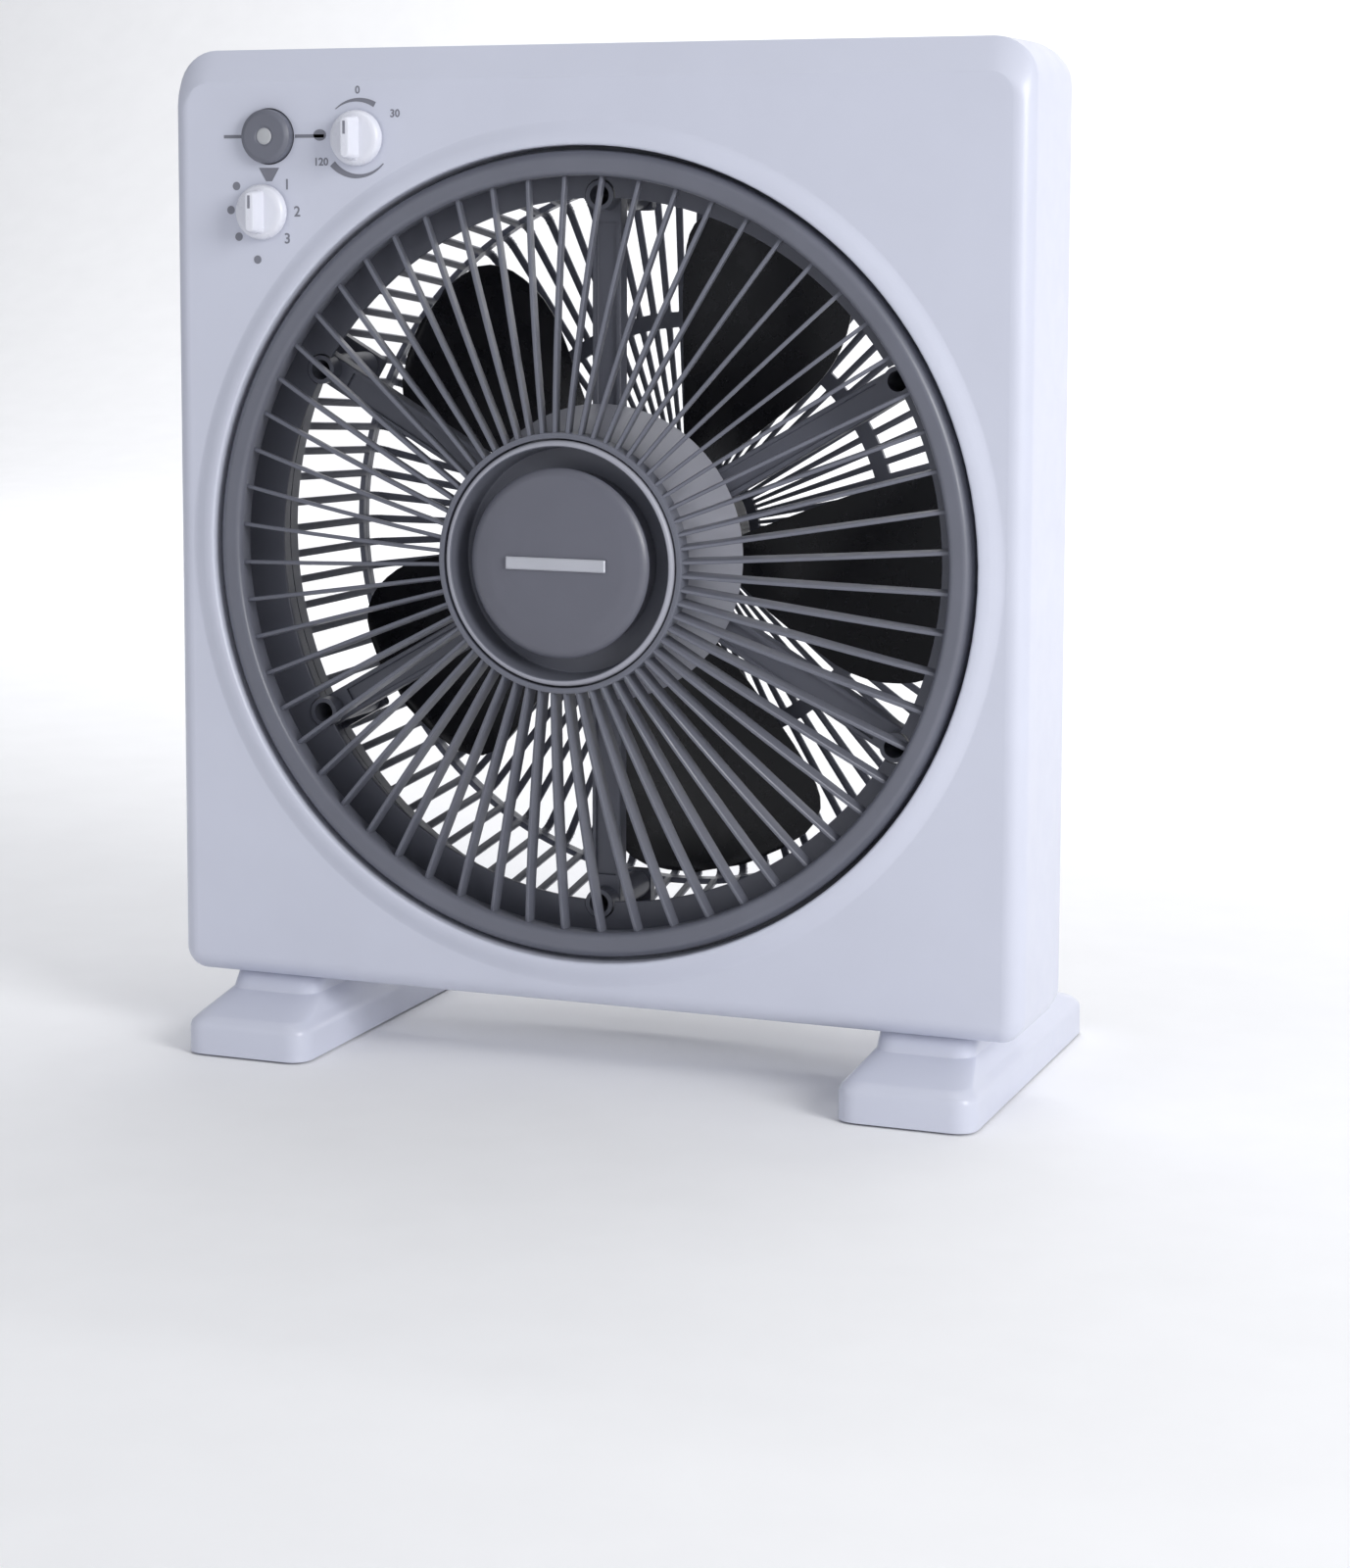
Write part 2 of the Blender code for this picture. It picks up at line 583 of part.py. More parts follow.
def make_louvre_fittings():
    hub = ((0.063, 0.026), (0.0525, -0.0120), (0.0509, -0.0142), (0.0506, -0.0229), (0.0496, -0.0245),
           (0.0480, -0.0245), (0.0470, -0.0085), (0.0034, -0.0085), (0.0034, 0.004), (0.007, 0.004),
           (0.007, -0.006), (0.0515, -0.006), (0.0532, 0.0), (0.0602, 0.026))
    turned("louvre_hub", hub, "louvre_grey", 28)
    cap = ((0.0, -0.0265), (0.030, -0.0265), (0.0378, -0.0252), (0.0398, -0.0235), (0.0398, -0.0218),
           (0.0375, -0.0218), (0.0375, -0.0088), (0.0355, -0.0088), (0.0355, -0.0225), (0.0, -0.0225))
    turned("louvre_cap", cap, "hub_grey", 28)
    block("louvre_badge", (-0.022, -0.0278, -0.0035), (0.022, -0.0268, 0.0035), "badge_silver")
    shaft = ((0.0018, -0.0078), (0.003, -0.0078), (0.003, 0.015), (0.010, 0.015), (0.010, 0.019),
             (0.003, 0.019), (0.003, 0.026), (0.0, 0.026), (0.0, 0.004), (0.0018, 0.004))
    turned("louvre_motor_shaft", shaft, "steel", 14)
    screw("louvre_hub_screw", (0.0, 0.0), -0.0112, 0.003, head_radius=0.005, shank_radius=0.0014,
          head_height=0.0022)

    case_back = ARM_FRONT - GAP
    case = ((0.0, case_back), (0.025, case_back), (0.025, 0.0115), (0.0235, 0.0115),
            (0.0235, case_back - 0.0015), (0.0, case_back - 0.0015))
    turned("louvre_motor_case", case, "zinc_shell", 28)
    lid = ((0.0035, 0.0095), (0.025, 0.0095), (0.025, 0.0112), (0.0035, 0.0112))
    turned("louvre_motor_lid", lid, "zinc_shell", 28)


# ---- controls ------------------------------------------------------------------------------
def at_place(place):
    return (place[0], FRONT_Y, AXIS_Z + place[1])


def make_knob(name, place):
    """A round skirt with a bar across it to grip, bored for its spindle."""
    skirt = ((0.0, -0.0052), (0.0105, -0.0052), (0.012, -0.0040), (0.012, -0.0006), (0.0, -0.0006))
    knob = turned(name, skirt, "knob_white", 18, at_place(place))
    grip = bmesh.new()
    add_box(grip, (-0.0026, -0.0135, -0.0085), (0.0026, -0.0045, 0.0085))
    combine(knob, grip, "UNION", at_place(place))
    combine(knob, rods([(0, 0)], 0.0024, -0.0115, 0.001), "DIFFERENCE", at_place(place))


def make_rotary_switch(knob, case, spindle, place, low, high, back):
    """A knob on its spindle, in front of the switch that it turns."""
    make_knob(knob, place)
    rod = ((0.0, -0.011), (0.0020, -0.011), (0.0020, -0.0003), (0.003, 0.0003), (0.003, 0.021),
           (0.0, 0.021))
    turned(spindle, rod, "steel", 16, at_place(place))
    front = BRACKET_DEPTH + 0.0015 + GAP
    body = block(case, (low[0], front, low[1]), (high[0], back, high[1]), "switch_black")
    combine(body, rods([place], 0.0037, front - 0.002, 0.023), "DIFFERENCE")


def make_controls():
    make_rotary_switch("timer_knob", "timer_case", "timer_spindle", TIMER_AT,
                       (-0.117, 0.162), (-0.087, 0.192), 0.038)
    make_rotary_switch("speed_knob", "speed_switch_case", "speed_spindle", SPEED_AT,
                       (-0.162, 0.129), (-0.132, 0.157), 0.032)

    front = WALL + GAP
    cap = ((0.0, -0.005), (0.0095, -0.005), (0.0115, -0.0035), (0.0115, front), (0.0138, front),
           (0.0138, front + 0.0018), (0.003, front + 0.0018), (0.003, 0.0185), (0.0, 0.0185))
    turned("louvre_button", cap, "louvre_grey", 20, at_place(BUTTON_AT))
    case_front = BRACKET_DEPTH + 0.0015 + GAP
    case = block("louvre_switch_case", (-0.154, case_front, 0.165), (-0.132, 0.030, 0.187),
                 "switch_black")
    combine(case, rods([BUTTON_AT], 0.0037, case_front - 0.002, 0.024), "DIFFERENCE")

    plate_low, plate_high = (-0.166, BRACKET_DEPTH, 0.122), (-0.081, BRACKET_DEPTH + 0.0015, 0.197)
    bracket = block("switch_bracket", plate_low, plate_high, "zinc_shell")
    legs = ((-0.162, 0.193), (-0.122, 0.188), (-0.162, 0.127))
    combine(bracket, rods(legs, 0.003, front, BRACKET_DEPTH + 0.001), "UNION")
    ring_clearance = rods([(0.0, 0.0)], 0.1785, BRACKET_DEPTH - 0.02, BRACKET_DEPTH + 0.02, 48)
    combine(bracket, ring_clearance, "DIFFERENCE")
    spindle_holes = rods([TIMER_AT, SPEED_AT, BUTTON_AT], 0.004, BRACKET_DEPTH - 0.002, 0.02)
    combine(bracket, spindle_holes, "DIFFERENCE")
    make_button_spring(front + 0.0018 + BUTTON_TRAVEL + GAP, BRACKET_DEPTH - GAP)


def make_button_spring(front, back):
    """The button's return spring at the length that it keeps when the button is pressed."""
    wire, coil, turns, steps = 0.00045, 0.0050, 2, 12
    length = back - front - 2 * wire
    loops = []
    for step in range(turns * steps + 1):
        angle = math.tau * step / steps
        depth = front + wire + length * step / (turns * steps)
        turns_around = [math.tau * corner / 4 for corner in range(4)]
        loops.append([polar(coil + wire * math.cos(t), depth + wire * math.sin(t), angle)
                      for t in turns_around])
    bm = bmesh.new()
    skin(bm, loops, wrap=False)
    add_object("louvre_button_spring", bm, "steel", at_place(BUTTON_AT))


# ---- feet ----------------------------------------------------------------------------------
FOOT_LEVELS = (             # height, inset at the sides, front end, back end
    (PAD_HEIGHT, 0.0, -FOOT_LENGTH / 2, FOOT_LENGTH / 2),
    (0.0140, 0.0, -FOOT_LENGTH / 2, FOOT_LENGTH / 2),
    (0.0170, 0.0025, -0.0915, 0.0915),
    (0.0245, 0.0080, -0.0680, 0.0660),
    (BODY_LOW - GAP, 0.0080, -0.0620, -0.0080))
PAD_REACH = 0.078           # distance of the pads from the middle of the foot
PAD_PLACES = [(side * FOOT_CENTRE, end * PAD_REACH) for side in (-1, 1) for end in (-1, 1)]


def foot_outline(height, half_width, front, back, radius):
    """A rectangle with rounded corners, lying flat at a height."""
    centres = ((half_width - radius, back - radius), (radius - half_width, back - radius),
               (radius - half_width, front + radius), (half_width - radius, front + radius))
    outline = []
    for quarter, (x, y) in enumerate(centres):
        for step in range(4):
            turn = (quarter + step / 3) * math.pi / 2
            outline.append(Vector((x + radius * math.cos(turn), y + radius * math.sin(turn), height)))
    return outline


def make_foot(name, side):
    """A hollow foot: a low base whose shoulders rise to a narrow neck under the housing."""
    middle = (side * FOOT_CENTRE, 0.0, 0.0)
    half = FOOT_WIDTH / 2
    outer = [foot_outline(height, half - inset, front, back, 0.008)
             for height, inset, front, back in FOOT_LEVELS]
    inner = [foot_outline(height - WALL, half - inset - WALL, front + WALL, back - WALL, 0.0055)
             for height, inset, front, back in FOOT_LEVELS]
    bm = bmesh.new()
    skin(bm, outer, wrap=False)
    foot = add_object(name, bm, "housing_white", middle)
    hollow = bmesh.new()
    skin(hollow, inner, wrap=False)
    combine(foot, hollow, "DIFFERENCE", middle)
    bosses = [(0.0, PAD_REACH), (0.0, -PAD_REACH)]
    combine(foot, rods(bosses, 0.0095, PAD_HEIGHT, 0.0166, 12), "UNION", middle, upright=True)
    combine(foot, rods(bosses, 0.0078, -0.005, 0.0025, 12), "DIFFERENCE", middle, upright=True)
    for place, depth in FOOT_SCREWS:
        if place * side > 0:
            hole = (place, FRONT_Y + depth, 0.0)
            combine(foot, rods([(0, 0)], 0.0019, 0.027, 0.034), "DIFFERENCE", hole, upright=True)


def make_foot_fittings():
    pad = ((0.0, 0.0), (0.0070, 0.0), (0.0075, 0.0006), (0.0075, 0.0022), (0.0, 0.0022))
    for number, (x, y) in enumerate(PAD_PLACES, 1):
        turned(f"foot_pad_{number}", pad, "rubber", 12, (x, y, 0.0), upright=True)
    bolt = ((0.0, 0.0266), (0.0036, 0.0266), (0.0036, 0.0288), (0.0016, 0.0288), (0.0016, 0.0420),
            (0.0, 0.0420))
    for number, (x, depth) in enumerate(FOOT_SCREWS, 1):
        turned(f"foot_screw_{number}", bolt, "steel", 8, (x, FRONT_Y + depth, 0.0), upright=True)


# ---- the whole fan -------------------------------------------------------------------------
def clear_scene():
    for piece in list(bpy.data.objects):
        bpy.data.objects.remove(piece, do_unlink=True)


def main():
    clear_scene()
    make_front_housing()
    make_rear_housing()
    make_carry_handle()
    make_cord_gland()
    make_duct_ring()
    make_motor_spider()
    make_rear_guard()
    make_motor()
    make_fan_rotor()
    make_run_capacitor()
    make_louvre_grille()
    make_louvre_fittings()
    make_controls()
    make_foot("foot_left", -1)
    make_foot("foot_right", 1)
    make_foot_fittings()
    for number, place in enumerate(SCREW_CORNERS, 1):
        screw(f"housing_screw_{number}", place, REAR_DEPTH + 0.0025, 0.052)
    for number, place in enumerate(POSTS, 1):
        screw(f"spider_screw_{number}", place, WELL_DEPTH - GAP - 0.0022, 0.0695)


main()
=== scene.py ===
"""Looks of a box fan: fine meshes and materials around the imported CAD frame, in metres.

Most pieces are made around the fan's axis: X to the right, Y as depth behind the front face and
Z upwards, with their origin where the axis meets the front face.
"""
import json
import math

import bmesh
import bpy
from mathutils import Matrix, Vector


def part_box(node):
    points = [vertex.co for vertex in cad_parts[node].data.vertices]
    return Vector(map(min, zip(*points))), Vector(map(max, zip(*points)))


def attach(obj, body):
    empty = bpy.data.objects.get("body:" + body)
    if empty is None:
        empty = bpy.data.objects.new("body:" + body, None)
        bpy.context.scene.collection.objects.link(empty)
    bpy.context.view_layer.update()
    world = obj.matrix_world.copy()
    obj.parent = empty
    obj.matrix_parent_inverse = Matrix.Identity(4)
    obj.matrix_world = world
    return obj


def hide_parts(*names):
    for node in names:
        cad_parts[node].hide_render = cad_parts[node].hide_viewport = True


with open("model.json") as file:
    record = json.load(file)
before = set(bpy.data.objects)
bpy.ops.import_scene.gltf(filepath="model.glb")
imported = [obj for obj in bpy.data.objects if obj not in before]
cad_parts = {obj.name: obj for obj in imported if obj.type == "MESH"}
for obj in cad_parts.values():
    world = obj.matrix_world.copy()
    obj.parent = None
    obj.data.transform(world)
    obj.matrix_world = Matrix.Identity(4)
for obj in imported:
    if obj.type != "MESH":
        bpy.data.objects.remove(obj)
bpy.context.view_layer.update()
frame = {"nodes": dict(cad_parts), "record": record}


def middle(node):
    low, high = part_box(node)
    return (low + high) / 2


def seen_at(node):
    """Where a node's middle lies around the fan's axis, seen from the front."""
    return (middle(node).x - AXIS.x, middle(node).z - AXIS.z)


# ---- sizes, from the frame where it has them ----
GAP = 0.0003
WALL = 0.0025
FRONT_DEPTH = 0.055         # depth of the front housing
REAR_DEPTH = 0.072          # depth of the rear housing's back face
RING = middle("louvre_grille")
AXIS = Vector((RING.x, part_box("rear_housing")[1].y - REAR_DEPTH, RING.z))
BODY_HALF = (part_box("front_housing")[1].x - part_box("front_housing")[0].x) / 2
BODY_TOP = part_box("front_housing")[1].z - AXIS.z
BODY_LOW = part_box("front_housing")[0].z - AXIS.z
RING_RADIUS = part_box("louvre_grille")[1].x - AXIS.x
OPENING_RADIUS = RING_RADIUS + 0.002
LIP_DEPTH = 0.012
DUCT_RADIUS = 0.1705        # outside of the duct, and of the rear guard where it starts
DUCT_BACK = 0.066
DUCT_RIM = 0.176            # radius of the rim at the duct's front
FLANGE_RADIUS = 0.178
GUARD_END = 0.160           # radius that the guard's wall narrows to
COVER_RADIUS = 0.149        # inner edge of the duct's cover, a flat ring behind the louvre
COVER_FRONT = 0.0225
GUARD_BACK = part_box("rear_guard_grid")[1].y - AXIS.y
SPIDER_FRONT = 0.030
MOTOR_RADIUS = 0.043
SHAFT_RADIUS = 0.004
BUTTON_AT = seen_at("louvre_button")
TIMER_AT = seen_at("timer_knob")
SPEED_AT = seen_at("speed_knob")
GLAND_AT = seen_at("cord_gland")


# ---- materials ----
def link(tree, source, target):
    tree.links.new(source, target)


def noise(tree, scale, detail=2.0, stretch=None):
    """A noise texture in the piece's own coordinates, optionally stretched."""
    place = tree.nodes.new("ShaderNodeTexCoord")
    texture = tree.nodes.new("ShaderNodeTexNoise")
    texture.inputs["Scale"].default_value = scale
    texture.inputs["Detail"].default_value = detail
    source = place.outputs["Object"]
    if stretch:
        mapping = tree.nodes.new("ShaderNodeMapping")
        mapping.inputs["Scale"].default_value = stretch
        link(tree, source, mapping.inputs["Vector"])
        source = mapping.outputs["Vector"]
    link(tree, source, texture.inputs["Vector"])
    return texture.outputs["Fac"]


def bands(tree, scale, direction, kind="BANDS"):
    """Evenly spaced stripes along one direction."""
    place = tree.nodes.new("ShaderNodeTexCoord")
    wave = tree.nodes.new("ShaderNodeTexWave")
    wave.wave_type = kind
    if kind == "BANDS":
        wave.bands_direction = direction
    else:
        wave.rings_direction = direction
    wave.inputs["Scale"].default_value = scale
    wave.inputs["Distortion"].default_value = 0.3
    link(tree, place.outputs["Object"], wave.inputs["Vector"])
    return wave.outputs["Fac"]


def spread(tree, factor, low, high):
    """Bring a 0.3 to 0.7 texture value to the range low to high."""
    ranged = tree.nodes.new("ShaderNodeMapRange")
    ranged.inputs["From Min"].default_value = 0.3
    ranged.inputs["From Max"].default_value = 0.7
    ranged.inputs["To Min"].default_value = low
    ranged.inputs["To Max"].default_value = high
    link(tree, factor, ranged.inputs["Value"])
    return ranged.outputs["Result"]


def surface(name, colour, roughness, metallic=0.0, mottle=0.03, grain=0.10, grain_scale=1400.0,
            rough_spread=0.05, stretch=None, coat=0.0, stripes=None):
    """A material whose colour, roughness and bump come from noise in the piece's own space."""
    material = bpy.data.materials.new(name)
    material.use_nodes = True
    tree = material.node_tree
    shader = tree.nodes["Principled BSDF"]
    shader.inputs["Metallic"].default_value = metallic
    shader.inputs["Coat Weight"].default_value = coat
    shader.inputs["Coat Roughness"].default_value = 0.12

    broad = stripes(tree) if stripes else noise(tree, 22.0, 3.0)
    mix = tree.nodes.new("ShaderNodeMix")
    mix.data_type = "RGBA"
    link(tree, spread(tree, broad, 0.0, 1.0), mix.inputs["Factor"])
    mix.inputs["A"].default_value = (*(part * (1 - mottle) for part in colour), 1.0)
    mix.inputs["B"].default_value = (*(min(part * (1 + mottle), 1.0) for part in colour), 1.0)
    link(tree, mix.outputs["Result"], shader.inputs["Base Color"])

    patches = noise(tree, 90.0, 4.0, stretch)
    link(tree, spread(tree, patches, roughness - rough_spread, roughness + rough_spread),
         shader.inputs["Roughness"])

    bump = tree.nodes.new("ShaderNodeBump")
    bump.inputs["Strength"].default_value = grain
    bump.inputs["Distance"].default_value = 0.0003
    height = broad if stripes else noise(tree, grain_scale, 2.0, stretch)
    link(tree, height, bump.inputs["Height"])
    link(tree, bump.outputs["Normal"], shader.inputs["Normal"])
    return material


def make_finishes():
    """Every finish, under the name of the record's slot that it belongs to."""
    across_depth = (1.0, 0.04, 1.0)
    return {
        "housing_white": surface("housing_white", (0.60, 0.62, 0.72), 0.36, mottle=0.015,
                                 grain=0.07, coat=0.15),
        "louvre_grey": surface("louvre_grey", (0.140, 0.146, 0.180), 0.36, mottle=0.06, grain=0.10),
        "hub_grey": surface("hub_grey", (0.128, 0.131, 0.162), 0.34, mottle=0.04, grain=0.16,
                            grain_scale=2200.0),
        "badge_silver": surface("badge_silver", (0.50, 0.51, 0.56), 0.35, metallic=0.3, mottle=0.05),
        "blade_black": surface("blade_black", (0.009, 0.009, 0.012), 0.28, mottle=0.2, grain=0.06),
        "knob_white": surface("knob_white", (0.74, 0.75, 0.82), 0.30, mottle=0.02, grain=0.05),
        "steel": surface("steel", (0.56, 0.56, 0.58), 0.32, metallic=1.0, mottle=0.08,
                         grain=0.08, stretch=across_depth),
        "zinc_shell": surface("zinc_shell", (0.48, 0.49, 0.50), 0.42, metallic=1.0, mottle=0.14,
                              grain=0.12, grain_scale=500.0, rough_spread=0.12),
        "lamination": surface("lamination", (0.20, 0.20, 0.22), 0.5, metallic=0.8, mottle=0.35,
                              grain=0.5, stripes=lambda tree: bands(tree, 300.0, "Y")),
        "copper": surface("copper", (0.62, 0.24, 0.10), 0.3, metallic=0.9, mottle=0.3, grain=0.6,
                          stripes=lambda tree: bands(tree, 260.0, "Y", "RINGS")),
        "bronze": surface("bronze", (0.46, 0.30, 0.13), 0.45, metallic=1.0, mottle=0.15, grain=0.3),
        "switch_black": surface("switch_black", (0.022, 0.022, 0.024), 0.5, mottle=0.2, grain=0.25),
        "rubber": surface("rubber", (0.02, 0.02, 0.021), 0.75, mottle=0.15, grain=0.3,
                          grain_scale=900.0),
    }


finishes = make_finishes()
finishes["print"] = surface("print", (0.20, 0.205, 0.245), 0.55, mottle=0.08, grain=0.04)
# A lighter copy of the louvre's grey for the bell's cone: painted light, standing in for light falling on
# the cone.
finishes["bell_painted_light"] = surface("bell_painted_light", (0.345, 0.350, 0.400), 0.38, mottle=0.05, grain=0.10)
finishes["button_spot"] = surface("button_spot", (0.42, 0.43, 0.45), 0.35, mottle=0.05, grain=0.05)


# ---- mesh helpers ----
def polar(radius, depth, angle, place=(0.0, 0.0)):
    """A point at a radius and angle (radians, from +X towards +Z) around a place."""
    return Vector((place[0] + radius * math.cos(angle), depth, place[1] + radius * math.sin(angle)))


def circle(radius, depth, sides, place=(0.0, 0.0)):
    return [polar(radius, depth, math.tau * i / sides, place) for i in range(sides)]


def soften(points, radius, steps=3, closed=True):
    """Replace each corner of an outline by a curve that starts radius away from it."""
    points = [Vector(point) for point in points]
    count = len(points)
    result = []
    for i, corner in enumerate(points):
        if not closed and i in (0, count - 1):
            result.append(corner)
            continue
        ends = []
        for other in (points[i - 1], points[(i + 1) % count]):
            side = other - corner
            ends.append(corner + side * min(radius / side.length, 0.48))
        for step in range(steps + 1):
            share = step / steps
            result.append(ends[0].lerp(corner, share).lerp(corner.lerp(ends[1], share), share))
    return result


def add_face(bm, corners):
    """A face through the corners, leaving out repeated ones."""
    different = list(dict.fromkeys(corners))
    if len(different) > 2:
        bm.faces.new(different)


def skin(bm, loops, wrap):
    """Join loops of equally many points; wrap closes last to first, otherwise both ends are capped."""
    rows = []
    for loop in loops:
        if (loop[0] - loop[len(loop) // 2]).length < 1e-9:
            rows.append([bm.verts.new(loop[0])] * len(loop))
        else:
            rows.append([bm.verts.new(point) for point in loop])
    followers = rows[1:] + rows[:1] if wrap else rows[1:]
    for near, far in zip(rows, followers):
        for i in range(len(near)):
            add_face(bm, (near[i - 1], near[i], far[i], far[i - 1]))
    if not wrap:
        add_face(bm, rows[0])
        add_face(bm, rows[-1])


def thick_sheet(bm, outer, inner, kept, wrap):
    """A sheet between two grids of vertices; kept(row, column) says which cells are material."""
    row_count = len(outer) - 1
    column_count = len(outer[0]) if wrap else len(outer[0]) - 1

    def solid(row, column):
        if wrap:
            column %= column_count
        inside = 0 <= row < row_count and 0 <= column < column_count
        return inside and kept(row, column)

    for row in range(row_count):
        for column in range(column_count):
            if not solid(row, column):
                continue
            after = (column + 1) % len(outer[0])
            cell = ((row, column), (row, after), (row + 1, after), (row + 1, column))
            beyond = (solid(row - 1, column), solid(row, column + 1),
                      solid(row + 1, column), solid(row, column - 1))
            add_face(bm, [outer[j][i] for j, i in cell])
            add_face(bm, [inner[j][i] for j, i in cell])
            for side in range(4):
                (j, i), (n, m) = cell[side], cell[(side + 1) % 4]
                if not beyond[side]:
                    add_face(bm, (outer[j][i], outer[n][m], inner[n][m], inner[j][i]))


def add_turned(bm, profile, sides, place=(0.0, 0.0)):
    """Revolve a closed outline of (radius, depth) points about the depth axis."""
    skin(bm, [circle(max(radius, 0.0), depth, sides, place) for radius, depth in profile], wrap=True)


def rods(places, radius, front, back, sides=32):
    """A bmesh of cylinders along the depth axis, one at each place."""
    bm = bmesh.new()
    for place in places:
        skin(bm, [circle(radius, front, sides, place), circle(radius, back, sides, place)], wrap=False)
    return bm


def add_bar(bm, low, high, radius=0.0006, steps=2):
    """A block whose edges along the depth are rounded, with softened front and back edges."""
    (x0, y0, z0), (x1, y1, z1) = low, high
    loops = []
    for inset, depth in ((radius, y0), (0.0, y0 + radius), (0.0, y1 - radius), (radius, y1)):
        corners = [(x0 + inset, depth, z0 + inset), (x1 - inset, depth, z0 + inset),
                   (x1 - inset, depth, z1 - inset), (x0 + inset, depth, z1 - inset)]
        loops.append(soften(corners, radius, steps))
    skin(bm, loops, wrap=False)


def around(count, radius, first_degrees):
    """Evenly spaced places on a circle around the axis."""
    angles = [math.radians(first_degrees + 360 * i / count) for i in range(count)]
    return [(radius * math.cos(angle), radius * math.sin(angle)) for angle in angles]


def add_piece(name, bm, finish, place=AXIS, sharp=32):
    """Turn a bmesh into a linked object with its finish, at a place."""
    bmesh.ops.recalc_face_normals(bm, faces=bm.faces)
    mesh = bpy.data.meshes.new(name)
    bm.to_mesh(mesh)
    bm.free()
    mesh.shade_smooth()
    mesh.set_sharp_from_angle(angle=math.radians(sharp))
    mesh.materials.append(finishes[finish])
    piece = bpy.data.objects.new(name, mesh)
    piece.location = place
    bpy.context.scene.collection.objects.link(piece)
    piece["finish"] = finish
    return piece


def combine(piece, bm, operation, sharp=32):
    """Add the bmesh's bodies to the piece or cut them out of it, and keep only the result."""
    tool = add_piece(piece.name + "_tool", bm, piece["finish"], piece.location, sharp)
    modifier = piece.modifiers.new(operation.title(), "BOOLEAN")
    modifier.operation = operation
    modifier.solver = "EXACT"
    modifier.object = tool
    graph = bpy.context.evaluated_depsgraph_get()
    mesh = bpy.data.meshes.new_from_object(piece.evaluated_get(graph))
    piece.modifiers.clear()
    piece.data = mesh
    mesh.shade_smooth()
    mesh.set_sharp_from_angle(angle=math.radians(sharp))
    bpy.data.objects.remove(tool, do_unlink=True)


def drill(piece, places, radius, front, back, sides=16, sharp=32):
    """Cut round holes along the depth axis into the piece, one at each place."""
    combine(piece, rods(places, radius, front, back, sides), "DIFFERENCE", sharp)


def settle(piece, body, *nodes):
    """Let the piece ride on its body and stand for its CAD nodes."""
    weighted = piece.modifiers.new("Even normals", "WEIGHTED_NORMAL")
    weighted.keep_sharp = True
    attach(piece, body)
    if nodes:
        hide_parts(*nodes)
    return piece


def turned(name, profile, finish, sides=96, soft=0.0006, steps=3, place=AXIS):
    """A piece revolved from its softened outline."""
    bm = bmesh.new()
    add_turned(bm, [(p.x, p.y) for p in soften([(r, d, 0.0) for r, d in profile], soft, steps)], sides)
    return add_piece(name, bm, finish, place)


def local(place):
    """A place around the axis as a point in the fan."""
    return Vector((AXIS.x + place[0], AXIS.y, AXIS.z + place[1]))


# ---- housing ----
SIDE_STEPS = 34
CORNER_STEPS = 9
TOP_CORNER = 0.018
BOTTOM_CORNER = 0.010
SIDE_ROUND = 0.008          # rounding of the front edge, at the sides and below
TOP_BEVEL = 0.014           # height of the flat bevel that the same edge has along the top
HANDLE_HALF = 0.048
HANDLE_FRONT, HANDLE_BACK = 0.021, 0.043


def housing_outline(side_inset, top_inset, depth):
    """The housing's rounded outline around the axis, drawn in from its sides and its top."""
    half = BODY_HALF - side_inset
    low = BODY_LOW + side_inset
    high = BODY_TOP - top_inset
    corners = ((half, high, TOP_CORNER), (-half, high, TOP_CORNER),
               (-half, low, BOTTOM_CORNER), (half, low, BOTTOM_CORNER))
    arcs = []
    for quarter, (x, z, radius) in enumerate(corners):
        radius = max(radius - side_inset, 0.002)
        centre = (x - math.copysign(radius, x), z - math.copysign(radius, z))
        turns = [quarter + step / CORNER_STEPS for step in range(CORNER_STEPS + 1)]
        arcs.append([polar(radius, depth, turn * math.pi / 2, centre) for turn in turns])
    outline = []
    for arc, following in zip(arcs, arcs[1:] + arcs[:1]):
        outline += arc
        shares = [step / SIDE_STEPS for step in range(1, SIDE_STEPS)]
        outline += [arc[-1].lerp(following[0], share) for share in shares]
    return outline


def ring_in_outline(radius, depth):
    """A circle with one point for each point of the housing's outline, at the same angle."""
    flat = housing_outline(SIDE_ROUND, TOP_BEVEL, 0.0)
    return [polar(radius, depth, math.atan2(point.z, point.x)) for point in flat]


def front_edge(inset, steps):
    """Outlines that round the front edge and bevel its top, for a surface lying inset inside."""
    outlines = []
    for step in range(steps + 1):
        turn = math.pi / 2 * step / steps
        side = inset + (SIDE_ROUND - inset) * (1 - math.sin(turn))
        top = inset + (TOP_BEVEL - inset) * math.cos(turn)
        depth = inset + (SIDE_ROUND - inset) * (1 - math.cos(turn))
        outlines.append(housing_outline(side, top, depth))
    return outlines


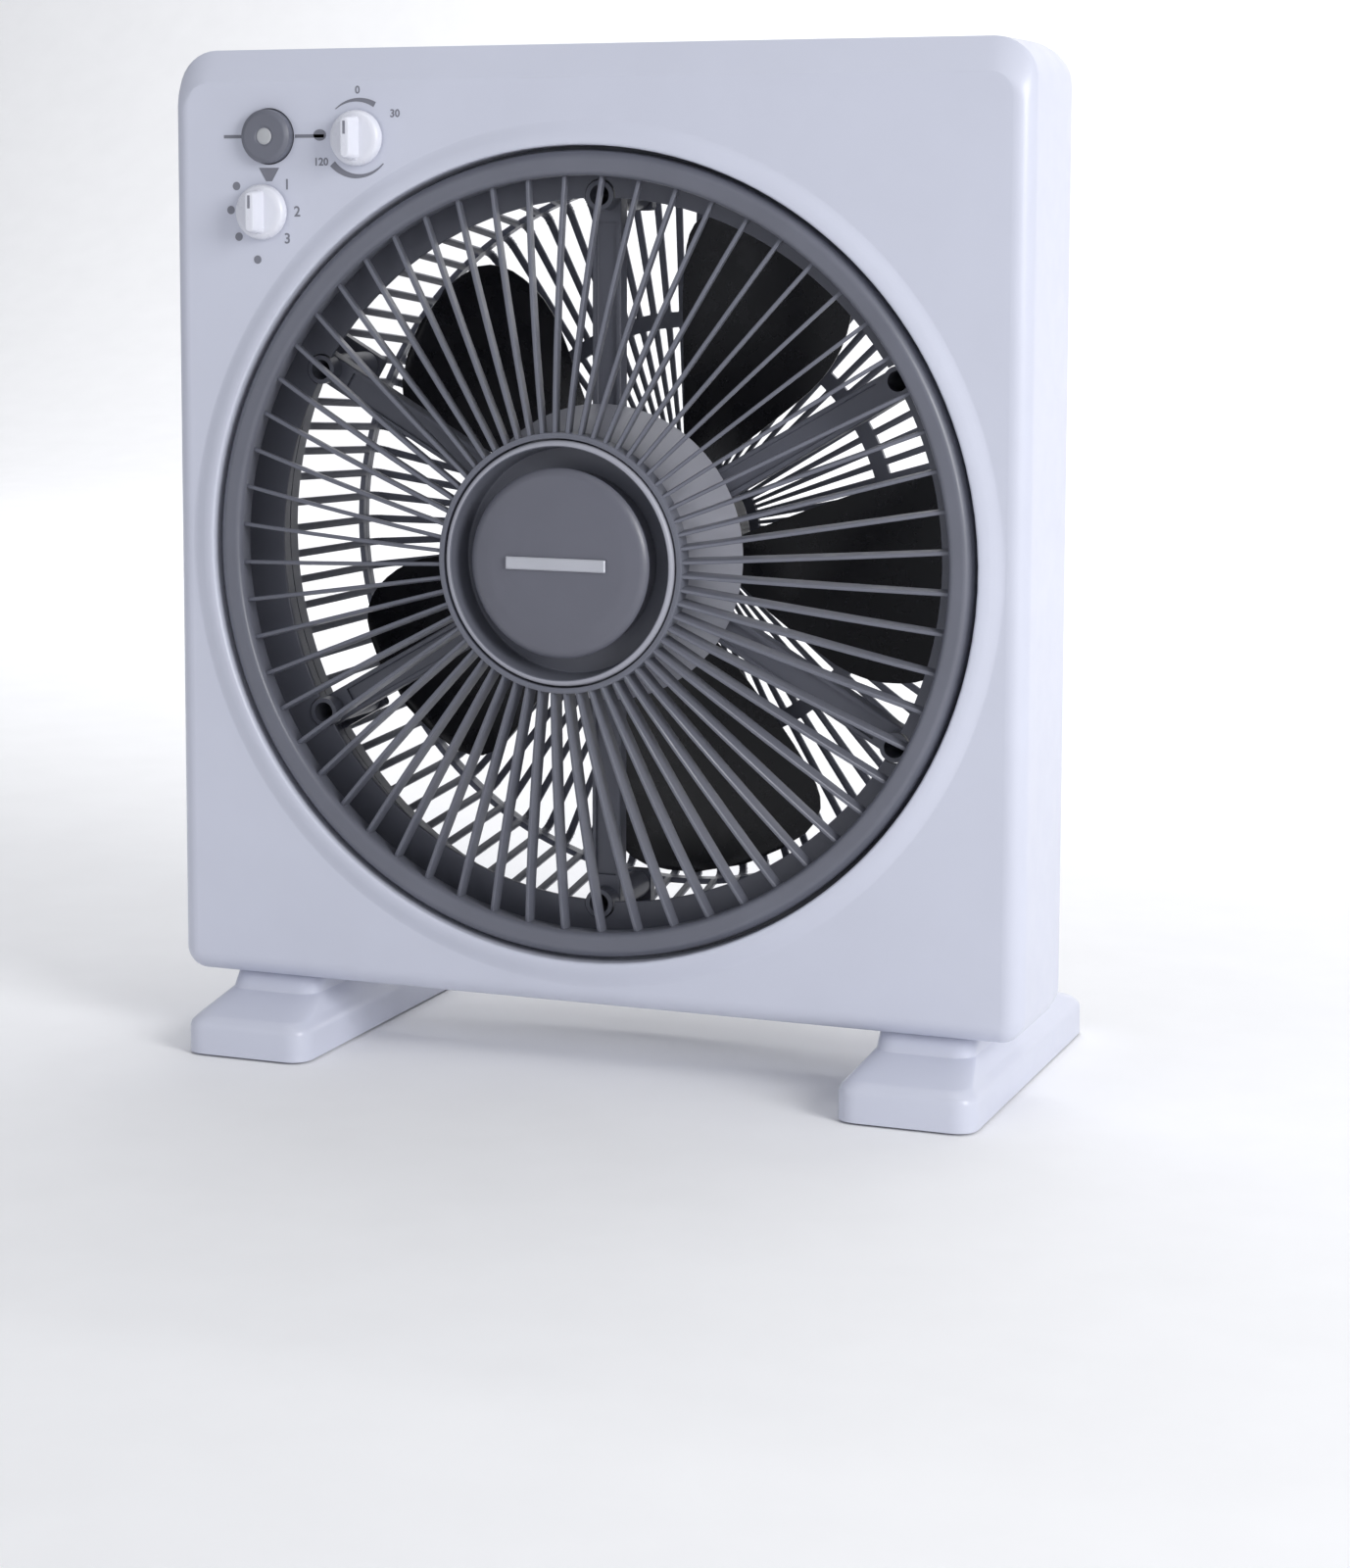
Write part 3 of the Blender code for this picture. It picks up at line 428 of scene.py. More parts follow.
def make_front_housing():
    """The front shell, with a raised collar around the louvre and its controls' holes."""
    rim = FRONT_DEPTH
    face = [housing_outline(SIDE_ROUND + 0.0004, TOP_BEVEL + 0.0015, 0.0)]
    outside = face + front_edge(0.0, 10) + [housing_outline(0.0, 0.0, 0.010),
                                            housing_outline(0.0, 0.0, rim - 0.0006),
                                            housing_outline(0.0006, 0.0006, rim)]
    inside = [housing_outline(WALL, WALL, rim)] + front_edge(WALL, 5)[::-1]
    lip_back = [(0.1815, WALL), (OPENING_RADIUS + WALL, 0.001), (OPENING_RADIUS + WALL, LIP_DEPTH)]
    collar = [(OPENING_RADIUS, LIP_DEPTH, 0), (OPENING_RADIUS, -0.0022, 0), (0.1722, -0.0026, 0),
              (0.1752, -0.0020, 0), (0.1795, -0.0004, 0), (0.1812, 0.0, 0)]
    lip_front = [(point.x, point.y) for point in soften(collar, 0.0013, 3, closed=False)]
    bm = bmesh.new()
    rings = [ring_in_outline(radius, depth) for radius, depth in lip_back + lip_front]
    skin(bm, outside + inside + rings, wrap=True)
    housing = add_piece("front_shell", bm, "housing_white", sharp=50)
    drill(housing, [BUTTON_AT], 0.012, -0.01, 0.01, 48)
    drill(housing, [TIMER_AT, SPEED_AT], 0.004, -0.01, 0.01, 24)
    slot = bmesh.new()
    loops = []
    for grow, height in ((0.0012, 0.010), (0.0012, 0.0), (0.0, -0.0012), (0.0, -0.010)):
        x, front, back = HANDLE_HALF + grow, HANDLE_FRONT - grow, HANDLE_BACK + grow
        corners = [(-x, front, BODY_TOP + height), (x, front, BODY_TOP + height),
                   (x, back, BODY_TOP + height), (-x, back, BODY_TOP + height)]
        loops.append(soften(corners, 0.006, 6))
    skin(slot, loops, wrap=False)
    combine(housing, slot, "DIFFERENCE", sharp=50)
    settle(housing, "root", "front_housing")


def make_rear_housing():
    """The back shell: rounded at its edge, with a raised rim around the guard."""
    front = FRONT_DEPTH + GAP
    back = REAR_DEPTH
    edge = []
    for step in range(7):
        turn = math.pi / 2 * step / 6
        inset = 0.001 + 0.007 * (1 - math.cos(turn))
        edge.append(housing_outline(inset, inset, back - 0.006 * (1 - math.sin(turn))))
    outside = [housing_outline(0.0016, 0.0016, front), housing_outline(0.001, 0.001, front + 0.0006)]
    opening = [(0.1780, back), (0.1775, back + 0.0012), (0.1735, back + 0.0016), (0.1725, back + 0.001),
               (0.1725, back - WALL)]
    inside = [housing_outline(0.010, 0.010, back - WALL), housing_outline(0.0035, 0.0035, back - 0.009),
              housing_outline(0.0035, 0.0035, front)]
    bm = bmesh.new()
    rings = [ring_in_outline(radius, depth) for radius, depth in opening]
    skin(bm, outside + edge + [housing_outline(0.010, 0.010, back)] + rings + inside, wrap=True)
    housing = add_piece("back_shell", bm, "housing_white", sharp=40)
    corners = [seen_at(f"housing_screw_{number}") for number in range(1, 5)]
    drill(housing, corners, 0.0022, 0.06, 0.08, 24)
    drill(housing, [GLAND_AT], 0.0066, 0.06, 0.08, 32, sharp=40)
    settle(housing, "root", "rear_housing")


def make_cord_gland():
    """A rubber bush with a collar, where a cord would leave."""
    back = REAR_DEPTH
    profile = ((0.0035, back - 0.005), (0.0060, back - 0.005), (0.0060, back + GAP),
               (0.0085, back + GAP), (0.0080, back + 0.0022), (0.0064, back + 0.0026),
               (0.0060, back + 0.004), (0.0035, back + 0.004))
    gland = turned("cord_bush", profile, "rubber", 40, 0.0004, 2, local(GLAND_AT))
    settle(gland, "root", "cord_gland")


# ---- duct, spider and guard ----
ARMS = 6
FIRST_ARM = 30              # degrees
ARM_HALF = 0.0065           # half of an arm's width
ARM_DEPTH = 0.0076
PLATE_DEPTH = 0.004         # of the plate that the motor is screwed to
POST_RADIUS = 0.0062
WELL_RADIUS = 0.0043
WELL_DEPTH = 0.050          # floor of the screw wells in the posts
POST_HOLE = 0.0019
LUG_REACH = (0.1435, 0.1685)
POST_CIRCLE = 0.150
POSTS = around(ARMS, POST_CIRCLE, FIRST_ARM)
MOTOR_SCREWS = around(3, 0.030, 90)


def arm_directions():
    """Unit vectors along and across each of the spider's arms."""
    result = []
    for arm in range(ARMS):
        angle = math.radians(FIRST_ARM + 360 * arm / ARMS)
        result.append((Vector((math.cos(angle), 0.0, math.sin(angle))),
                       Vector((-math.sin(angle), 0.0, math.cos(angle)))))
    return result


def make_duct_ring():
    """A flanged tube with a flat cover inside it, notched for the spider's posts."""
    inner = DUCT_RADIUS - WALL
    front = LIP_DEPTH + GAP
    sheet = 0.002
    profile = ((inner, front), (DUCT_RIM, front), (DUCT_RIM, front + sheet), (DUCT_RADIUS, front + sheet),
               (DUCT_RADIUS, DUCT_BACK - WALL), (FLANGE_RADIUS, DUCT_BACK - WALL),
               (FLANGE_RADIUS, DUCT_BACK), (inner, DUCT_BACK), (inner, COVER_FRONT + sheet),
               (COVER_RADIUS, COVER_FRONT + sheet), (COVER_RADIUS, COVER_FRONT), (inner, COVER_FRONT))
    duct = turned("duct", profile, "louvre_grey", 128)
    drill(duct, POSTS, POST_RADIUS + 2 * GAP, COVER_FRONT - sheet, COVER_FRONT + 2 * sheet, 40)
    settle(duct, "root", "duct_ring")


def make_motor_spider():
    """Six channelled arms from the motor's plate to screw posts at the duct."""
    front = SPIDER_FRONT
    plate = ((0.0, front), (0.046, front), (0.046, front + PLATE_DEPTH), (0.0, front + PLATE_DEPTH))
    spider = turned("spider", plate, "louvre_grey", 96, 0.0008)
    arms, channels = bmesh.new(), bmesh.new()
    bodies = (              # body, near and far end, half of its width, front and back
        (arms, 0.0445, 0.1674, ARM_HALF, front - 0.0004, front + ARM_DEPTH),
        (channels, 0.050, 0.139, 0.0046, front - 0.002, front + 0.0012))
    for along, across in arm_directions():
        for bm, near, far, half, low, high in bodies:
            loops = []
            for reach in (near, far):
                corners = [along * reach + across * side * half + Vector((0.0, depth, 0.0))
                           for side, depth in ((1, low), (-1, low), (-1, high), (1, high))]
                loops.append(soften(corners, 0.0010, 3))
            skin(bm, loops, wrap=False)
    combine(spider, arms, "UNION")
    combine(spider, rods(POSTS, POST_RADIUS, COVER_FRONT - 0.001, DUCT_BACK, 40), "UNION")
    combine(spider, channels, "DIFFERENCE")
    drill(spider, POSTS, WELL_RADIUS, COVER_FRONT - 0.003, WELL_DEPTH, 32)
    drill(spider, POSTS, POST_HOLE, 0.045, 0.070)
    drill(spider, MOTOR_SCREWS, 0.0022, front - 0.002, 0.040)
    settle(spider, "root", "motor_spider")


GUARD_BARS = 90
GUARD_ROUND = 0.006         # rounding of the drum's back edge
BAR_WIDTH = 0.0034          # at the drum's wall; the bars behind taper towards the middle
BAR_CHAMFER = 0.0007
SLOT_CHAMFER = 0.0009       # length of the chamfer where a slot ends


def make_barred_shell(name, stations):
    """A shell turned from stations ((outer radius, depth), (inner radius, depth), slotted).

    Between the stations that say so there are slots, and the bars left there have chamfers.
    """
    rows = []
    for i, (outer, inner, slotted) in enumerate(stations):
        rows.append((Vector(outer), Vector(inner), slotted, False))
        if slotted:
            after_outer, after_inner = Vector(stations[i + 1][0]), Vector(stations[i + 1][1])
            share = SLOT_CHAMFER / (after_outer - Vector(outer)).length
            for part in (share, 1 - share):
                between_outer = Vector(outer).lerp(after_outer, part)
                between_inner = Vector(inner).lerp(after_inner, part)
                rows.append((between_outer, between_inner, slotted, True))
    pitch = math.tau / GUARD_BARS
    bm = bmesh.new()
    grids = [[], []]
    for outer, inner, _, chamfered in rows:
        width = BAR_WIDTH * (0.62 + 0.38 * outer.x / DUCT_RADIUS)
        half = min(width / max(outer.x, 0.001), pitch * 0.66) / 2
        reach = min(BAR_CHAMFER / max(outer.x, 0.001), half * 0.6)
        for grid, own, other in ((grids[0], outer, inner), (grids[1], inner, outer)):
            edge = own.lerp(other, 0.28 if chamfered else 0.0)
            section = ((-half, edge), (reach - half, own), (half - reach, own), (half, edge))
            line = [polar(point.x, point.y, bar * pitch + offset)
                    for bar in range(GUARD_BARS) for offset, point in section]
            if own.x < 1e-6:
                grid.append([bm.verts.new(line[0])] * len(line))
            else:
                grid.append([bm.verts.new(point) for point in line])
    thick_sheet(bm, *grids, kept=lambda row, column: column % 4 != 3 or not rows[row][2], wrap=True)
    return add_piece(name, bm, "louvre_grey", sharp=38)


def make_rear_guard():
    """The slotted drum behind the rotor: a flanged wall, and the grid that closes its back."""
    front = DUCT_BACK + GAP
    back = GUARD_BACK
    outside, inside, end, split = DUCT_RADIUS, DUCT_RADIUS - WALL, GUARD_END, back - 0.009
    wall = make_barred_shell("guard_wall", (
        ((FLANGE_RADIUS, front + WALL), (FLANGE_RADIUS, front), False),
        ((outside + 0.0015, front + WALL), (inside, front), False),
        ((outside, front + WALL + 0.0015), (inside, front + WALL + 0.0015), False),
        ((outside, front + 0.007), (inside, front + 0.007), True),
        ((end, split - 0.003), (end - WALL, split - 0.003), False),
        ((end, split), (end - WALL, split), False)))
    corner = []
    for step in range(6):
        turn = math.pi / 2 * step / 5
        radius = end - GUARD_ROUND * (1 - math.cos(turn))
        depth = back - GUARD_ROUND * (1 - math.sin(turn))
        inner = (radius - WALL * math.cos(turn), depth - WALL * math.sin(turn))
        corner.append(((radius, depth), inner, True))
    field = [((radius, back), (radius, back - WALL), slotted) for radius, slotted in
             ((0.0985, False), (0.0965, False), (0.0935, False), (0.0915, True), (0.034, False),
              (0.032, False), (0.0, False))]
    grid = make_barred_shell("guard_grid", (
        [((end, split + GAP), (end - WALL, split + GAP), False)] + corner + field))
    lugs = bmesh.new()
    near, far = LUG_REACH
    for along, across in arm_directions():
        loops = []
        for depth in (front + 0.0004, front + 0.005):
            corners = [along * reach + across * side + Vector((0.0, depth, 0.0)) for reach, side in
                       ((near, -ARM_HALF), (far, -ARM_HALF), (far, ARM_HALF), (near, ARM_HALF))]
            loops.append(soften(corners, 0.002, 4))
        skin(lugs, loops, wrap=False)
    combine(wall, lugs, "UNION", sharp=38)
    drill(wall, POSTS, POST_HOLE, front - 0.002, front + 0.008, sharp=38)
    settle(wall, "root", "rear_guard_wall")
    settle(grid, "root", "rear_guard_grid")


# ---- motor and rotor ----
def make_motor_shells():
    """Two deep-drawn cups, the rear one with vents."""
    front, split, back = SPIDER_FRONT + PLATE_DEPTH + GAP, 0.057, 0.079
    thick = 0.0015
    for name, node, end, mate in (("motor_front_cup", "motor_front_shell", front, split),
                                  ("motor_rear_cup", "motor_rear_shell", back, split + GAP)):
        inward = math.copysign(1.0, mate - end)
        inner = MOTOR_RADIUS - thick
        shape = ((0.0046, 0.0), (0.018, 0.0), (0.021, 0.0008), (0.034, 0.0008),
                 (MOTOR_RADIUS - 0.004, 0.001), (MOTOR_RADIUS, 0.005), (MOTOR_RADIUS, abs(mate - end)),
                 (inner, abs(mate - end)), (inner, 0.006), (MOTOR_RADIUS - 0.0055, 0.0025),
                 (0.0105, 0.0025), (0.0105, 0.0115), (0.0092, 0.0115), (0.0092, thick), (0.0046, thick))
        profile = [(radius, end + inward * depth) for radius, depth in shape]
        cup = turned(name, profile, "zinc_shell", 72, 0.0006, 2)
        vents = bmesh.new()
        for vent in range(12):
            angle = math.tau * (vent + 0.5) / 12
            low, high = sorted((end - inward * 0.002, end + inward * 0.006))
            loops = []
            for depth in (low, high):
                corners = [polar(radius, depth, angle + side) for radius, side in
                           ((0.024, -0.09), (0.033, -0.08), (0.033, 0.08), (0.024, 0.09))]
                loops.append(soften(corners, 0.0015, 3))
            skin(vents, loops, wrap=False)
        if node == "motor_rear_shell":
            combine(cup, vents, "DIFFERENCE")
        else:
            vents.free()
            drill(cup, MOTOR_SCREWS, 0.0019, end - 0.002, end + 0.004)
        settle(cup, "root", node)


BLADES = 5
BLADE_ROOT = 0.0345
BLADE_TIP = 0.149
BLADE_DEPTH = 0.092
BLADE_RISE = 0.015 / 23.5   # depth gained per degree around the axis
BLADE_SPAN = (              # radius, and the degrees from the middle to either edge
    (BLADE_ROOT, 10.5, 10.5), (0.043, 14, 15), (0.064, 19, 20), (0.098, 21.5, 23), (0.115, 20.5, 23.4),
    (0.130, 17.5, 23), (0.140, 14, 21), (0.146, 9.5, 16), (BLADE_TIP, 2, 6))
FIRST_BLADE = -8.5          # degrees
BLADE_THICK = 0.0022
BLADE_CAMBER = 0.003
BLADE_ROWS = 18
BLADE_CHORD = 16


def blade_edges(radius):
    """Degrees from the blade's middle to its edges at a radius, on smooth curves."""
    for i, (near, far) in enumerate(zip(BLADE_SPAN, BLADE_SPAN[1:])):
        if radius <= far[0] or far is BLADE_SPAN[-1]:
            break
    before = BLADE_SPAN[max(i - 1, 0)]
    after = BLADE_SPAN[min(i + 2, len(BLADE_SPAN) - 1)]
    span = far[0] - near[0]
    share = min((radius - near[0]) / span, 1.0)
    edges = []
    for side in (1, 2):
        leave = (far[side] - before[side]) / (far[0] - before[0]) * span
        arrive = (after[side] - near[side]) / (after[0] - near[0]) * span
        edges.append((2 * share ** 3 - 3 * share ** 2 + 1) * near[side]
                     + (share ** 3 - 2 * share ** 2 + share) * leave
                     + (3 * share ** 2 - 2 * share ** 3) * far[side]
                     + (share ** 3 - share ** 2) * arrive)
    return edges


def make_fan_rotor():
    """A hub with five broad pitched blades, thickest along their middle."""
    bore = SHAFT_RADIUS + GAP
    hub = ((0.036, 0.084), (0.036, 0.112), (0.034, 0.1165), (bore, 0.1165), (bore, 0.090),
           (0.009, 0.090), (0.009, 0.1135), (0.033, 0.1135), (0.033, 0.084))
    rotor = turned("rotor", hub, "blade_black", 96, 0.0015)
    blades = bmesh.new()
    for blade in range(BLADES):
        middle_angle = FIRST_BLADE + 360 * blade / BLADES
        sheets = [[], []]
        for line in range(BLADE_ROWS + 1):
            radius = BLADE_ROOT + (BLADE_TIP - BLADE_ROOT) * math.sin(math.pi / 2 * line / BLADE_ROWS)
            behind, ahead = blade_edges(radius)
            for sheet, side in zip(sheets, (-1, 1)):
                row = []
                for step in range(BLADE_CHORD + 1):
                    share = -math.cos(math.pi * step / BLADE_CHORD)
                    turn = share * (ahead if share > 0 else behind)
                    thick = BLADE_THICK * (1 - 0.62 * share ** 4) / 2
                    camber = BLADE_CAMBER * (1 - share * share)
                    depth = BLADE_DEPTH + BLADE_RISE * turn + camber + side * thick
                    angle = math.radians(middle_angle + turn)
                    row.append(blades.verts.new(polar(radius, depth, angle)))
                sheet.append(row)
        thick_sheet(blades, *sheets, kept=lambda row, column: True, wrap=False)
    combine(rotor, blades, "UNION")
    settle(rotor, "rotor", "fan_rotor")
    nut = ((bore, 0.1168), (0.012, 0.1168), (0.012, 0.121), (0.0095, 0.1255), (0.004, 0.1273),
           (0.0, 0.1275), (0.0, 0.1246), (bore, 0.1246))
    spinner = turned("spinner_nut", nut, "blade_black", 60, 0.0008)
    drill(spinner, around(10, 0.0127, 0), 0.0016, 0.115, 0.130)
    settle(spinner, "rotor", "rotor_nut")


# ---- louvre ----
VANES = 60
VANE_TILT = math.radians(8)
VANE_HALF = 0.00085         # half of a vane's thickness
VANE_LINE = ((0.0527, -0.0232, 0.0080), (0.106, -0.0130, 0.0074), (0.1600, 0.0022, 0.0060))
VANE_STATIONS = 7


def vane_at(share):
    """Radius, front depth and depth of a vane, on the curve through the three driving stations."""
    first, second, last = [Vector(station) for station in VANE_LINE]
    bend = (second - (first + last) / 2) * 2
    return first.lerp(last, share) + bend * 2 * share * (1 - share)


def make_louvre_grille():
    """Rounded slanting vanes between the outer ring and the seat on the hub."""
    ring = ((0.158, 0.0), (0.158, 0.009), (RING_RADIUS, 0.009), (RING_RADIUS, 0.0015),
            (0.1655, -0.002), (0.1595, -0.002))
    grille = turned("louvre_vanes", ring, "louvre_grey", 160, 0.0014, 4)
    seat = bmesh.new()
    seat_profile = ((0.0513, -0.0238, 0), (0.0537, -0.0238, 0),
                    (0.0540, -0.0150, 0), (0.0513, -0.0150, 0))
    add_turned(seat, [(p.x, p.y) for p in soften(seat_profile, 0.0006, 2)], 96)
    combine(grille, seat, "UNION")
    vanes = bmesh.new()
    for vane in range(VANES):
        angle = math.tau * (vane + 0.5) / VANES
        across = Vector((-math.sin(angle), 0.0, math.cos(angle)))
        deep = Vector((0.0, math.cos(VANE_TILT), 0.0)) + across * math.sin(VANE_TILT)
        sideways = across * math.cos(VANE_TILT) - Vector((0.0, math.sin(VANE_TILT), 0.0))
        loops = []
        for station in range(VANE_STATIONS):
            radius, front, depth = vane_at(station / (VANE_STATIONS - 1))
            centre = polar(radius, front + depth / 2, angle)
            outline = []
            for along, side in ((-1, 0.55), (-0.9, 0.95), (-0.2, 1.0), (0.9, 0.75), (1, 0.4),
                                (1, -0.4), (0.9, -0.75), (-0.2, -1.0), (-0.9, -0.95), (-1, -0.55)):
                outline.append(centre + deep * depth / 2 * along + sideways * VANE_HALF * side)
            loops.append(outline)
        skin(vanes, loops, wrap=False)
    combine(grille, vanes, "UNION", sharp=40)
    settle(grille, "louvre", "louvre_grille")


# Outside this radius the bell has the lighter grey, painted light on its cone; inside it keeps the
# louvre's own grey.
BELL_MOUTH = 0.0485         # radius inside which the bell has the louvre's darker finish


def make_louvre_centre():
    """The bell that carries the vanes, the cap in its mouth and the cap's plain badge; the bell's cone
    outside its mouth has a lighter grey that is painted light.
    """
    hub = ((0.063, 0.026), (0.0525, -0.0120), (0.0509, -0.0142), (0.0506, -0.0229), (0.0496, -0.0245),
           (0.0480, -0.0245), (0.0470, -0.0085), (0.0034, -0.0085), (0.0034, 0.004), (0.007, 0.004),
           (0.007, -0.006), (0.0515, -0.006), (0.0532, 0.0), (0.0602, 0.026))
    # The bell's lighter grey is painted light; the faces in its mouth get the louvre's own grey below.
    bell = turned("louvre_bell", hub, "bell_painted_light", 128, 0.0008, 4)
    bell.data.materials.append(finishes["louvre_grey"])
    for face in bell.data.polygons:
        if math.hypot(face.center.x, face.center.z) < BELL_MOUTH:
            face.material_index = 1
    settle(bell, "louvre", "louvre_hub")
    cap = ((0.0, -0.0267), (0.018, -0.0265), (0.030, -0.0259), (0.0372, -0.0245), (0.0398, -0.0218),
           (0.0375, -0.0218), (0.0375, -0.0088), (0.0355, -0.0088), (0.0355, -0.0220), (0.0, -0.0230))
    settle(turned("centre_cap", cap, "hub_grey", 128, 0.0018, 4), "louvre", "louvre_cap")
    bm = bmesh.new()
    add_bar(bm, (-0.022, -0.0278, -0.0026), (0.022, -0.0266, 0.0026), 0.0005, 3)
    settle(add_piece("plain_badge", bm, "badge_silver"), "louvre", "louvre_badge")


# ---- controls ----
def make_knob(name, node, body, place):
    """A domed skirt with fine grooves, and a rounded bar to grip with a line along its top."""
    skirt = ((0.0, -0.0056), (0.0095, -0.0052), (0.0114, -0.0040), (0.012, -0.0006), (0.0, -0.0006))
    knob = turned(name, skirt, "knob_white", 72, 0.0012, 3, local(place))
    grip = bmesh.new()
    loops = []
    for half_width, half_height, depth in ((0.0030, 0.0094, -0.0045), (0.0027, 0.0090, -0.0080),
                                           (0.0024, 0.0086, -0.0122), (0.0019, 0.0081, -0.0132),
                                           (0.0012, 0.0074, -0.0135)):
        corners = [(-half_width, depth, -half_height), (half_width, depth, -half_height),
                   (half_width, depth, half_height), (-half_width, depth, half_height)]
        loops.append(soften(corners, 0.0022, 5))
    skin(grip, loops, wrap=False)
    combine(knob, grip, "UNION")
    drill(knob, around(24, 0.01235, 0), 0.0007, -0.0048, 0.001, 10)
    settle(knob, body, node)
    mark = bmesh.new()
    add_bar(mark, (-0.0006, -0.01362, 0.0015), (0.0006, -0.0133, 0.0070), 0.0001, 1)
    settle(add_piece(name + "_mark", mark, "print", local(place)), body)


def make_button():
    """A dark round push-button with a light disc let into its face."""
    front = WALL + GAP
    cap = ((0.0, -0.0046), (0.0040, -0.0046), (0.0042, -0.0050), (0.0095, -0.0050), (0.0115, -0.0035),
           (0.0115, front), (0.0138, front), (0.0138, front + 0.0018), (0.003, front + 0.0018),
           (0.003, 0.0185), (0.0, 0.0185))
    button = turned("push_button", cap, "louvre_grey", 72, 0.0006, 3, local(BUTTON_AT))
    settle(button, "button", "louvre_button")
    disc = ((0.0, -0.0052), (0.0030, -0.0050), (0.0039, -0.0043), (0.0, -0.0043))
    settle(turned("button_disc", disc, "button_spot", 40, 0.0003, 2, local(BUTTON_AT)), "button")


def add_patch(bm, points):
    """A very thin plate of that outline on the front face, as printed marks are."""
    skin(bm, [[Vector((x, depth, z)) for x, z in points] for depth in (-0.00012, -0.00001)], wrap=False)


def ellipse(place, wide, high, sides=24):
    angles = [math.tau * i / sides for i in range(sides)]
    return [(place[0] + wide * math.cos(a), place[1] + high * math.sin(a)) for a in angles]


def number_points(text, place, size):
    """The filled outlines of a number as triangles, from Blender's own font."""
    curve = bpy.data.curves.new("number", "FONT")
    curve.body = text
    curve.size = size
    curve.offset = 0.0001
    curve.align_x = "CENTER"
    curve.align_y = "CENTER"
    curve.resolution_u = 3
    curve.extrude = 0.00005
    writing = bpy.data.objects.new("number", curve)
    bpy.context.scene.collection.objects.link(writing)
    graph = bpy.context.evaluated_depsgraph_get()
    mesh = bpy.data.meshes.new_from_object(writing.evaluated_get(graph))
    corners = [Vector((place[0] + v.co.x, -0.00006 - v.co.z, place[1] + v.co.y)) for v in mesh.vertices]
    faces = [tuple(polygon.vertices) for polygon in mesh.polygons]
    bpy.data.objects.remove(writing, do_unlink=True)
    return corners, faces


def add_arc(bm, centre, radius, width, first, last, steps=18):
    """A printed arc that swells from nothing to its width, as a timer's scale does."""
    outer, inner = [], []
    for step in range(steps + 1):
        share = step / steps
        angle = math.radians(first + (last - first) * share)
        half = width / 2 * (0.15 + 0.85 * share)
        for line, reach in ((outer, radius + half), (inner, radius - half)):
            line.append((centre[0] + reach * math.cos(angle), centre[1] + reach * math.sin(angle)))
    for step in range(steps):
        add_patch(bm, [outer[step], outer[step + 1], inner[step + 1], inner[step]])


def make_dial_marks():
    """Printed numbers, dots, lines and arcs around the two dials and the push-button."""
    bm = bmesh.new()
    numbers = [(str(step), SPEED_AT, 90 - 45 * step, 0.0162, 0.0062) for step in (1, 2, 3)]
    numbers += [(str(minutes), TIMER_AT, 90 - minutes * 2, 0.0200, 0.0046)
                for minutes in (0, 30, 120)]
    for text, centre, degrees, reach, size in numbers:
        angle = math.radians(degrees)
        place = (centre[0] + reach * math.cos(angle), centre[1] + reach * math.sin(angle))
        corners, faces = number_points(text, place, size)
        made = [bm.verts.new(corner) for corner in corners]
        for face in faces:
            bm.faces.new([made[i] for i in face])
    for degrees, reach in ((139, 0.0168), (177, 0.0155), (222, 0.0158), (262, 0.0205)):
        angle = math.radians(degrees)
        place = (SPEED_AT[0] + reach * math.cos(angle), SPEED_AT[1] + reach * math.sin(angle))
        add_patch(bm, ellipse(place, 0.0018, 0.0018))
    add_arc(bm, TIMER_AT, 0.0160, 0.0024, 130, 60)
    add_arc(bm, TIMER_AT, 0.0160, 0.0030, 318, 222)
    x, z = BUTTON_AT
    for start, end in ((-0.0215, -0.0125), (0.0125, 0.0262)):
        add_patch(bm, [(x + start, z - 0.0007), (x + end, z - 0.0007), (x + end, z + 0.0007),
                       (x + start, z + 0.0007)])
    add_patch(bm, ellipse((x + 0.0242, z + 0.0004), 0.0030, 0.0024))
    add_patch(bm, [(x - 0.0048, z - 0.0133), (x - 0.0014, z - 0.0190), (x + 0.0014, z - 0.0190),
                   (x + 0.0048, z - 0.0133)])
    settle(add_piece("dial_marks", bm, "print"), "root")


# ---- feet ----
FOOT_HALF = 0.029
FOOT_ROUND = 0.0022         # rounding between the levels
FOOT_CORNER, FOOT_HOLLOW_CORNER = 0.010, 0.0075
FOOT_LEVELS = (             # height, inset at the sides, front end, back end
    (0.0010, 0.0, -0.0940, 0.0940),
    (0.0140, 0.0, -0.0940, 0.0940),
    (0.0172, 0.0030, -0.0910, 0.0910),
    (0.0245, 0.0080, -0.0680, 0.0660),
    (0.0317, 0.0080, -0.0620, -0.0080))
PAD_REACH = 0.078


def foot_outline(height, half_width, front, back, radius):
    corners = [(half_width, back, height), (-half_width, back, height),
               (-half_width, front, height), (half_width, front, height)]
    return soften(corners, radius, 8)


def foot_levels():
    """The foot's levels with rounded shoulders between them."""
    result = []
    levels = [Vector(level) for level in FOOT_LEVELS]
    for before, level, after in zip([None] + levels, levels, levels[1:] + [None]):
        if before is None or after is None:
            result.append(level)
            continue
        near = level.lerp(before, min(FOOT_ROUND / (before - level).length, 0.45))
        far = level.lerp(after, min(FOOT_ROUND / (after - level).length, 0.45))
        for step in range(5):
            share = step / 4
            result.append(near.lerp(level, share).lerp(level.lerp(far, share), share))
    return result


